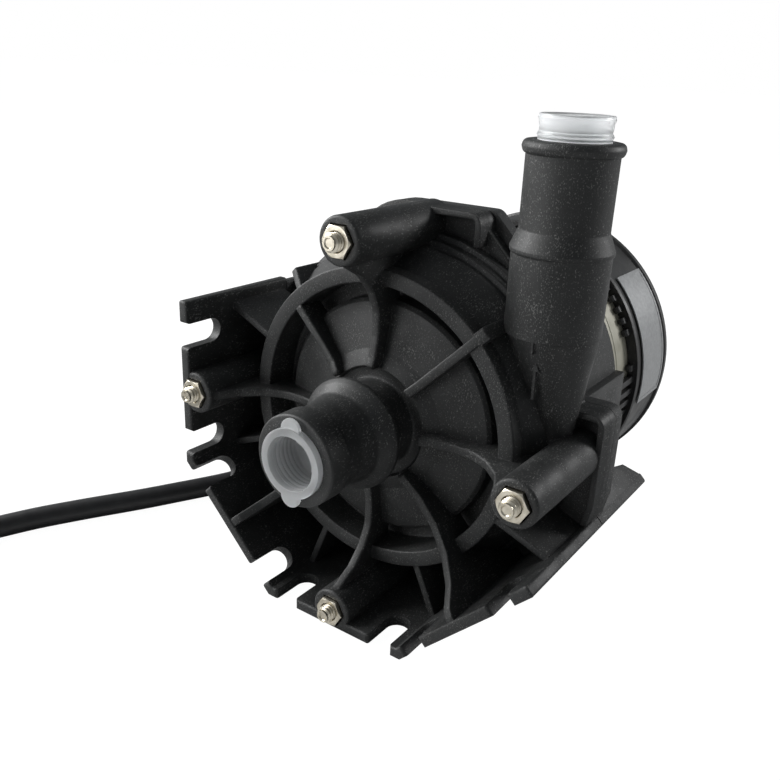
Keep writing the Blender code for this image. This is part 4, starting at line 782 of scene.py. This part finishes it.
def bolt_boss(angle):
    """A round boss with a softly rounded end; its hexagonal pocket is cut later, with the casing's holes."""
    x, z = on_circle(BOLT_CIRCLE, angle)
    corners = [(0, 0.2 * MM, 0), (6.5 * MM, 0.2 * MM, 0.9 * MM), (6.5 * MM, 45.6 * MM, 0), (0, 45.6 * MM, 0)]
    profile = filleted(corners, closed=False)
    boss = turned_at("boss", x, z, profile, steps=64)
    if angle in FOOT_SIDES:
        out = outward(angle)
        centre = around(angle, FOOT_APOTHEM - FOOT_WALL / 4 + 0.010, 0.020)
        half = Vector((0.010 if abs(out.x) > 0.5 else 0.03, 0.05, 0.010 if abs(out.z) > 0.5 else 0.03))
        boss = cut(boss, [box("flat", centre - half, centre + half)])
    return boss


def volute_casing():
    body = turned_on_axis("volute_casing_piece", casing_profile(), closed=True, steps=FINE)
    feet = soften(foot_trough("feet", FOOT_APOTHEM, FOOT_END, FOOT_END, 0, SPLIT + 0.0012), 0.0007, 3, 60)
    flange = soften(slab("flange", flange_outline(0.0, False), SPLIT - 0.0038, SPLIT + 0.0014), 0.0004)
    parts = [feet, flange] + [bolt_boss(angle) for angle, _ in BOSSES] + ear_walls()
    for angle in GUSSET_ANGLES:
        web = [(0.0440, 0.0183), (0.0632, 0.0193), (0.0632, 0.0432), (0.0440, 0.0432)]
        parts.append(soften(rib("gusset", web, angle, GUSSET_WALL), 0.0004))
    for angle in range(0, 360, 45):
        kind = "boss" if angle % 90 == 0 else "arm" if angle > 180 else "outlet" if angle == 45 else "corner"
        wall = RIB_WALL if angle else RIB_WALL_AT_RIGHT
        parts.append(soften(rib("rib", rib_shape(kind), angle, wall), 0.00069, 3))
    bar = [(0.0440, 0.0176), (0.0484, 0.0176), (0.0484, 0.0390), (0.0440, 0.0390)]
    parts.append(soften(rib("bar", bar, 45, 0.0038), 0.0006))
    parts.append(hose_tail())
    foot, top = place(DIFFUSER_FOOT, OUTLET_DEPTH, 0.0045), place(OUTLET_X, OUTLET_DEPTH, 0.0345)
    parts.append(cone("diffuser", foot, 0.0042, top, 0.0126))
    parts += flow_arrows()
    casing = joined(body, parts)
    cutters = foot_slots()
    cutters.append(box("behind", place(-0.2, SPLIT - GAP, -0.2), place(0.2, SPLIT + 0.05, 0.2)))
    bore = [(0, 0.0830), (OUTLET_BORE, 0.0830), (OUTLET_BORE, 0.0340), (0, 0.0340)]
    cutters.append(turned_upright("outlet_bore", OUTLET_X, OUTLET_DEPTH, bore))
    foot, top = place(DIFFUSER_FOOT, OUTLET_DEPTH, 0.0055), place(OUTLET_X, OUTLET_DEPTH, 0.0350)
    cutters.append(cone("cone_bore", foot, 0.0032, top, 0.0092, 48))
    cutters.append(box("throat", place(0.0355, 0.0340, 0.0040), place(0.0485, 0.0400, 0.0150)))
    groove = [(0.0434, 0.0408), (0.0466, 0.0408), (0.0466, 0.0470), (0.0434, 0.0470)]
    cutters.append(turned_on_axis("seal_groove", groove, closed=True, steps=96))
    for angle, _ in BOSSES:
        x, z = on_circle(BOLT_CIRCLE, angle)
        hole = [(0, -0.01), (BOLT_HOLE, -0.01), (BOLT_HOLE, 0.05), (0, 0.05)]
        cutters.append(turned_at("hole", x, z, hole, steps=32))
        cutters.append(slab("pocket", hexagon(x, z, 0.0087), -0.01, 0.0033))
    return cut(casing, cutters)


dress(volute_casing(), CASING_BLACK, "black_glass_filled_plastic", "pump_body", "volute_casing")


# Motor bracket behind the parting line

def motor_bracket():
    front, back = SPLIT, SPLIT + BRACKET_WALL
    body = soften(slab("motor_bracket_piece", flange_outline(0.00005, True), front - 0.0010, back), 0.0005)
    feet = foot_trough("feet", FOOT_APOTHEM, BRACKET_LEFT_END, FOOT_END, front - 0.0014, FOOT_BACK)
    soften(feet, 0.0007, 3, 60)
    skirt = [(SKIRT_RADIUS, back - 0.001), (SKIRT_RADIUS, SKIRT_BACK), (CAN_RADIUS + GAP, SKIRT_BACK),
             (CAN_RADIUS + GAP, back - 0.001)]
    parts = [feet, soften(turned_on_axis("skirt", skirt, closed=True), 0.0003)]
    spigot = [(0.0434, back - 0.001), (0.0434, back + 0.005), (0.0416, back + 0.005), (0.0416, back - 0.001)]
    parts.append(turned_on_axis("spigot", spigot, closed=True))
    for angle in (202.5, 247.5, 292.5):
        web = [(0.0456, back - 0.001), (0.0632, back - 0.001), (0.0632, FOOT_BACK - 0.010),
               (0.0456, FOOT_BACK - 0.010)]
        parts.append(soften(rib("web", web, angle, GUSSET_WALL), 0.0003))
    lug = [(0.0452, -0.0100), (0.0483, -0.0100), (0.0483, 0.0090), (0.0452, 0.0090)]
    parts.append(soften(slab("lug", lug, back - 0.001, 0.0860), 0.0004))
    wall = [(0.0366, back - 0.001), (0.0584, back - 0.001), (0.0584, FOOT_BACK), (0.0565, FOOT_BACK - 0.0012),
            (0.0512, FOOT_BACK - 0.0062), (0.0496, FOOT_BACK - 0.0130), (0.0366, FOOT_BACK - 0.0160)]
    half, tiny = 0.0015, 0.00002
    for side, along in ((315, FOOT_END - half - tiny), (180, -BRACKET_LEFT_END + half + tiny)):
        across = sideways(side)
        start = across * (along - half)
        points = [around(side, n, d) + start for n, d in wall]
        parts.append(soften(plate("end_wall", points, across * 0.0030), 0.0003))
    bracket = joined(body, parts)
    recess = [(0, front - 0.005), (0.0483, front - 0.005), (0.0483, front + 0.0011), (0.0258, front + 0.0011),
              (0.0258, back + 0.001), (0, back + 0.001)]
    seat = [(0.0436, back), (0.0436, 0.0950), (0.0448, 0.0950), (0.0448, back)]
    cutters = [turned_on_axis("recess", recess, steps=96), turned_on_axis("seat", seat, closed=True)]
    cutters.append(box("ahead", place(-0.2, front - 0.05, -0.2), place(0.2, front, 0.2)))
    for angle, _ in BOSSES:
        x, z = on_circle(BOLT_CIRCLE, angle)
        hole = [(0, 0.03), (BOLT_HOLE, 0.03), (BOLT_HOLE, back - 0.0004), (0.0046, back - 0.0004),
                (0.0046, 0.09), (0, 0.09)]
        cutters.append(turned_at("hole", x, z, hole, steps=32))
    return cut(bracket, cutters)


dress(motor_bracket(), CASING_BLACK, "black_glass_filled_plastic", "pump_body", "motor_bracket")


# Fasteners

def thread(radius, front, back):
    """Points of a threaded shank's side, one groove a pitch."""
    pitch, groove = 0.0010, 0.00055
    points = []
    count = int((back - front) / pitch)
    for k in range(count):
        d = front + k * pitch
        points += [(radius - groove, d), (radius, d + pitch * 0.38), (radius, d + pitch * 0.55)]
    return points + [(radius - groove, front + count * pitch), (radius, back)]


def casing_fasteners():
    for angle, side in BOSSES:
        x, z = on_circle(BOLT_CIRCLE, angle)
        tip, seat = -0.0037, SPLIT + BRACKET_WALL - 0.0001
        head, end = seat + 0.0012, seat + 0.0062
        profile = [(0, tip + 0.0004), (0.0011, tip + 0.0004), (0.0014, tip), (0.0019, tip)]
        profile += thread(BOLT_RADIUS, tip + 0.0006, 0.0120)
        profile += [(BOLT_RADIUS, seat), (0.0043, seat), (0.0043, head - 0.0004)]
        profile += filleted([(0.0038, head, 0), (0.0038, end, 0.0006), (0, end, 0)], closed=False)
        bolt = turned_at(f"casing_bolt_{side}_piece", x, z, profile, steps=40)
        bolt = cut(bolt, [slab("socket", hexagon(x, z, SOCKET_FLATS), end - 0.0030, end + 0.001)])
        dress(bolt, NICKEL, "nickel_steel", "pump_body", f"casing_bolt_{side}")
        front = BOSS_FRONT - NUT_PROUD
        nut = slab(f"casing_nut_{side}_piece", hexagon(x, z, NUT_FLATS), front, front + NUT_HEIGHT)
        lens = filleted([(0, front, 0), (0.0040, front, 0.0003), (0.00475, front + 0.0005, 0),
                         (0.00475, front + 0.0036, 0), (0.0042, front + NUT_HEIGHT, 0),
                         (0, front + NUT_HEIGHT, 0)],
                        closed=False)
        nut = combine(nut, [turned_at("lens", x, z, lens, steps=64)], "INTERSECT")
        hole = [(0, front - 0.001), (0.0029, front - 0.001), (0.0029, front + 0.0002),
                (0.00255, front + 0.0007), (0.00255, front + 0.0050), (0, front + 0.0050)]
        nut = cut(nut, [turned_at("hole", x, z, hole, steps=40)])
        dress(nut, NICKEL, "nickel_steel", "pump_body", f"casing_nut_{side}")


casing_fasteners()


# Stator can, rear cover and label

def stator_can():
    front, back = SPLIT + BRACKET_WALL + GAP, SPLIT + BRACKET_WALL + 0.0583
    seam, inside = CAN_RADIUS - 0.0002, CAN_RADIUS - 0.0008
    profile = [(CAN_RADIUS, front), (CAN_RADIUS, 0.0905), (seam, 0.0907), (seam, 0.0911),
               (CAN_RADIUS, 0.0913), (CAN_RADIUS, back), (inside, back), (inside, front)]
    return turned_on_axis("stator_can_piece", profile, closed=True)


dress(stator_can(), CAN_CREAM, "can_metal", "pump_body", "stator_can")


def rear_cover():
    inside = CAN_RADIUS + GAP
    outline = [(COVER_RADIUS, COVER_RIM, 0.3 * MM), (COVER_RADIUS + 0.0002, COVER_RIM + 0.0016, 0),
               (COVER_RADIUS, COVER_RIM + 0.0020, 0), (COVER_RADIUS, 0.1250, 0.2 * MM),
               (0.0489, 0.1257, 0.5 * MM), (0.0488, COVER_BACK - 0.0001, 4.4 * MM), (0, COVER_BACK, 0),
               (0, COVER_BACK - 0.0024, 0), (inside - 0.0010, COVER_BACK - 0.0024, 3.4 * MM),
               (inside, COVER_RIM, 0)]
    profile = filleted(outline[:-1], closed=False, steps=6) + [(inside, COVER_RIM)]
    cover = turned_on_axis("rear_cover_piece", profile, closed=True)
    parts = []
    for k in range(72):
        angle = 5 * (k + 0.5)
        from_side = abs((angle + 90) % 360 - 180)
        if 70 < from_side < 80:
            continue
        length = 0.0125 if from_side > 84 else 0.0034
        inner, outer, root = inside + 0.0002, inside + 0.0019, COVER_RIM + 0.0006
        fin = [(inner, root), (outer, root), (outer, COVER_RIM + 0.0012 - length),
               (outer - 0.0006, root - length), (inner, root - length)]
        parts.append(rib("fin", fin, angle, 0.0020))
    pad = [(0, 0.0492), (0.0076, 0.0492), (0.0080, 0.0488), (0.0086, 0.0458), (0, 0.0458)]
    parts.append(turned_on_gland("pad", place(0, GLAND_DEPTH, 0), pad))
    cover = joined(cover, parts)
    holes = []
    for angle in (30, 150, 270):
        x, z = on_circle(0.0398, angle)
        hole = [(0, 0.120), (0.0018, 0.120), (0.0018, 0.131), (0, 0.131)]
        holes.append(turned_at("hole", x, z, hole, steps=24))
    ring = [(0.0300, COVER_BACK - 0.0005), (0.0304, COVER_BACK - 0.0005), (0.0304, COVER_BACK + 0.001),
            (0.0300, COVER_BACK + 0.001)]
    holes.append(turned_on_axis("ring_groove", ring, closed=True, steps=96))
    return cut(cover, holes)


dress(rear_cover(), COVER_BLACK, "black_cover_plastic", "pump_body", "rear_cover")


def label_plate():
    """Bare foil plate with a thin raised border."""
    def sheet(name, low, high, front, back, inner, outer):
        line = arc(0, 0, outer, low, high, 36) + arc(0, 0, inner, low, high, 36)[::-1]
        return slab(name, line, front, back)

    radius = COVER_RADIUS + GAP
    base = sheet("label_plate_piece", -9, 44, COVER_RIM + 0.0040, COVER_RIM + 0.0241, radius, radius + 0.0004)
    front, back = COVER_RIM + 0.0052, COVER_RIM + 0.0229
    panel = sheet("panel", -7.4, 42.4, front, back, radius + 0.00028, radius + 0.0010)
    return cut(base, [panel])


dress(label_plate(), LABEL_SILVER, "label_silver", "pump_body", "label_plate")


# Transport plugs

def inlet_plug():
    """Open cup with a ridged inside, a flat rim and two round pull tabs."""
    front, seat, bottom = -17.9, -16.3, -5.8
    profile = [(9.6, front, 0.3), (9.6, seat, 0.3), (9.3, seat, 0), (9.3, seat + 4.0, 0.2),
               (9.0, seat + 4.5, 0.2), (9.3, seat + 5.0, 0.2), (9.1, bottom, 0.5), (0, bottom, 0),
               (0, bottom - 1.3, 0), (7.2, bottom - 1.3, 0.4)]
    depth = bottom - 2.2
    while depth > front + 3.0:
        profile += [(7.45, depth, 0.12), (7.75, depth - 0.45, 0.12), (7.45, depth - 0.9, 0.12)]
        depth -= 1.5
    profile += [(7.5, front, 0.3)]
    points = filleted([(r * MM, d * MM, f * MM) for r, d, f in profile], closed=False, steps=3)
    cup = turned_on_axis("inlet_plug_piece", points, closed=True, steps=96)
    tabs = []
    for side in (1, -1):
        disc = [(x, z) for x, z in arc(0, side * 9.35 * MM, 3.1 * MM, 0, 345, 23)]
        tab = slab("tab", disc, front * MM + 0.00012, seat * MM - 0.0003)
        tabs.append(soften(tab, 0.0003))
    cup = joined(cup, tabs)
    hollow = [(0, front * MM - 0.001), (7.55 * MM, front * MM - 0.001), (7.55 * MM, front * MM + 0.0020),
              (0, front * MM + 0.0020)]
    return cut(cup, [turned_on_axis("hollow", hollow, steps=96)])


dress(inlet_plug(), MILKY, "milky_plastic", "inlet_plug", "inlet_plug")


def outlet_plug():
    """Taller cup whose rim stands above the hose tail."""
    top, seat, bottom = 86.8, 81.6, 70.3
    profile = [(7.6, top - 0.6, 0.3), (8.2, top, 0.2), (8.9, top, 0.4), (9.2, top - 0.9, 0.3),
               (8.9, top - 1.9, 0.3), (8.7, seat + 1.2, 0.3), (9.2, seat + 0.4, 0.3), (8.9, seat, 0.1),
               (8.9, bottom + 1.0, 0.5), (8.0, bottom, 0.4), (0, bottom, 0), (0, bottom + 1.4, 0),
               (7.0, bottom + 1.4, 0.5)]
    height = bottom + 3.0
    while height < top - 3.0:
        profile += [(7.5, height, 0.12), (7.2, height + 0.45, 0.12), (7.5, height + 0.9, 0.12)]
        height += 1.8
    points = filleted([(r * MM, h * MM, f * MM) for r, h, f in profile], closed=False, steps=3)
    return turned_upright("outlet_plug_piece", OUTLET_X, OUTLET_DEPTH, points, closed=True)


dress(outlet_plug(), MILKY, "milky_plastic", "outlet_plug", "outlet_plug")


# Inner and small pieces keep their solids and get their finishes
INNER = {
    "casing_seal": (SEAL_RUBBER, "seal_rubber"), "separation_shell": (STAINLESS, "stainless"),
    "bearing_post": (STAINLESS, "stainless"), "bearing_ball": (CERAMIC, "ceramic"),
    "bearing_cup": (CARBON, "carbon"), "impeller": (IMPELLER_CREAM, "impeller_plastic"),
    "rotor_magnet": (FERRITE, "ferrite"),
    "stator_core": (LAMINATION, "lamination_steel"), "circuit_board": (BOARD_GREEN, "circuit_board"),
    "board_capacitor": (CAP_SLEEVE, "capacitor_sleeve"), "cord_tie": (SHEATH_BLACK, "lead_black"),
}
INNER.update({f"stator_coil_{k}": (COPPER, "copper_winding") for k in range(1, 7)})
INNER.update({f"cover_screw_{k}": (NICKEL, "nickel_steel") for k in range(1, 4)})
INNER.update({f"connector_pin_{k}": (NICKEL, "nickel_steel") for k in range(1, 4)})
for node, (look, _) in INNER.items():
    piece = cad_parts[node]
    for slot in piece.material_slots:
        slot.material = look


# Floor, backdrop and light

FLOOR_GLOW = 1.22
WORLD_FILL = 0.24
LAMP_AIM = (0, 0, 0.06)
EDGE_AIM = (0.03, 0.02, 0.07)
LAMPS = (
    ("key", (-1.00, -0.28, 0.66), LAMP_AIM, 0.75, 22.0),
    ("front", (-0.60, -1.10, 0.30), LAMP_AIM, 0.80, 5.0),
    ("edge", (0.75, 0.80, 0.50), EDGE_AIM, 0.4, 5.8),
)


def white_where_seen(name, colour, share):
    """A pale surface that the camera sees nearly white, also through clear plastic, with its shadow."""
    made, nodes, links, shader = blank(name)
    shader.inputs["Base Color"].default_value = (*colour, 1)
    shader.inputs["Roughness"].default_value = 0.9
    shader.inputs["Specular IOR Level"].default_value = 0.0
    seen = nodes.new("ShaderNodeMath")
    seen.operation = "MULTIPLY"
    seen.inputs[1].default_value = share
    links.new(seen_directly(nodes, links), seen.inputs[0])
    glow = nodes.new("ShaderNodeEmission")
    glow.inputs["Strength"].default_value = FLOOR_GLOW
    mix = nodes.new("ShaderNodeMixShader")
    links.new(seen.outputs["Value"], mix.inputs["Fac"])
    links.new(shader.outputs["BSDF"], mix.inputs[1])
    links.new(glow.outputs["Emission"], mix.inputs[2])
    links.new(mix.outputs["Shader"], nodes["Material Output"].inputs["Surface"])
    return made


def pale_floor():
    bpy.ops.object.select_all(action="DESELECT")
    bpy.ops.mesh.primitive_plane_add(size=40.0, location=(0, 0, -0.0002))
    floor = bpy.context.object
    floor.name = "floor"
    floor.data.materials.append(white_where_seen("floor_white", (0.60, 0.60, 0.60), 0.80))


def white_world():
    """White where the camera sees it, and a soft fill for all else."""
    world = bpy.data.worlds.new("studio")
    bpy.context.scene.world = world
    world.use_nodes = True
    nodes, links = world.node_tree.nodes, world.node_tree.links
    seen = nodes["Background"]
    seen.inputs["Color"].default_value = (1, 1, 1, 1)
    seen.inputs["Strength"].default_value = 1.0
    fill = nodes.new("ShaderNodeBackground")
    fill.inputs["Color"].default_value = (0.93, 0.97, 1.0, 1)
    fill.inputs["Strength"].default_value = WORLD_FILL
    mix = nodes.new("ShaderNodeMixShader")
    links.new(seen_directly(nodes, links), mix.inputs["Fac"])
    links.new(fill.outputs["Background"], mix.inputs[1])
    links.new(seen.outputs["Background"], mix.inputs[2])
    links.new(mix.outputs["Shader"], nodes["World Output"].inputs["Surface"])


def lamps():
    for name, spot, aim, size, power in LAMPS:
        data = bpy.data.lights.new(name, "AREA")
        data.shape = "DISK"
        data.size = size
        data.energy = power
        lamp = bpy.data.objects.new(name, data)
        lamp.location = spot
        lamp.rotation_euler = (Vector(aim) - Vector(spot)).to_track_quat("-Z", "Y").to_euler()
        bpy.context.scene.collection.objects.link(lamp)


pale_floor()
white_world()
lamps()
bpy.context.scene.view_settings.view_transform = "Standard"
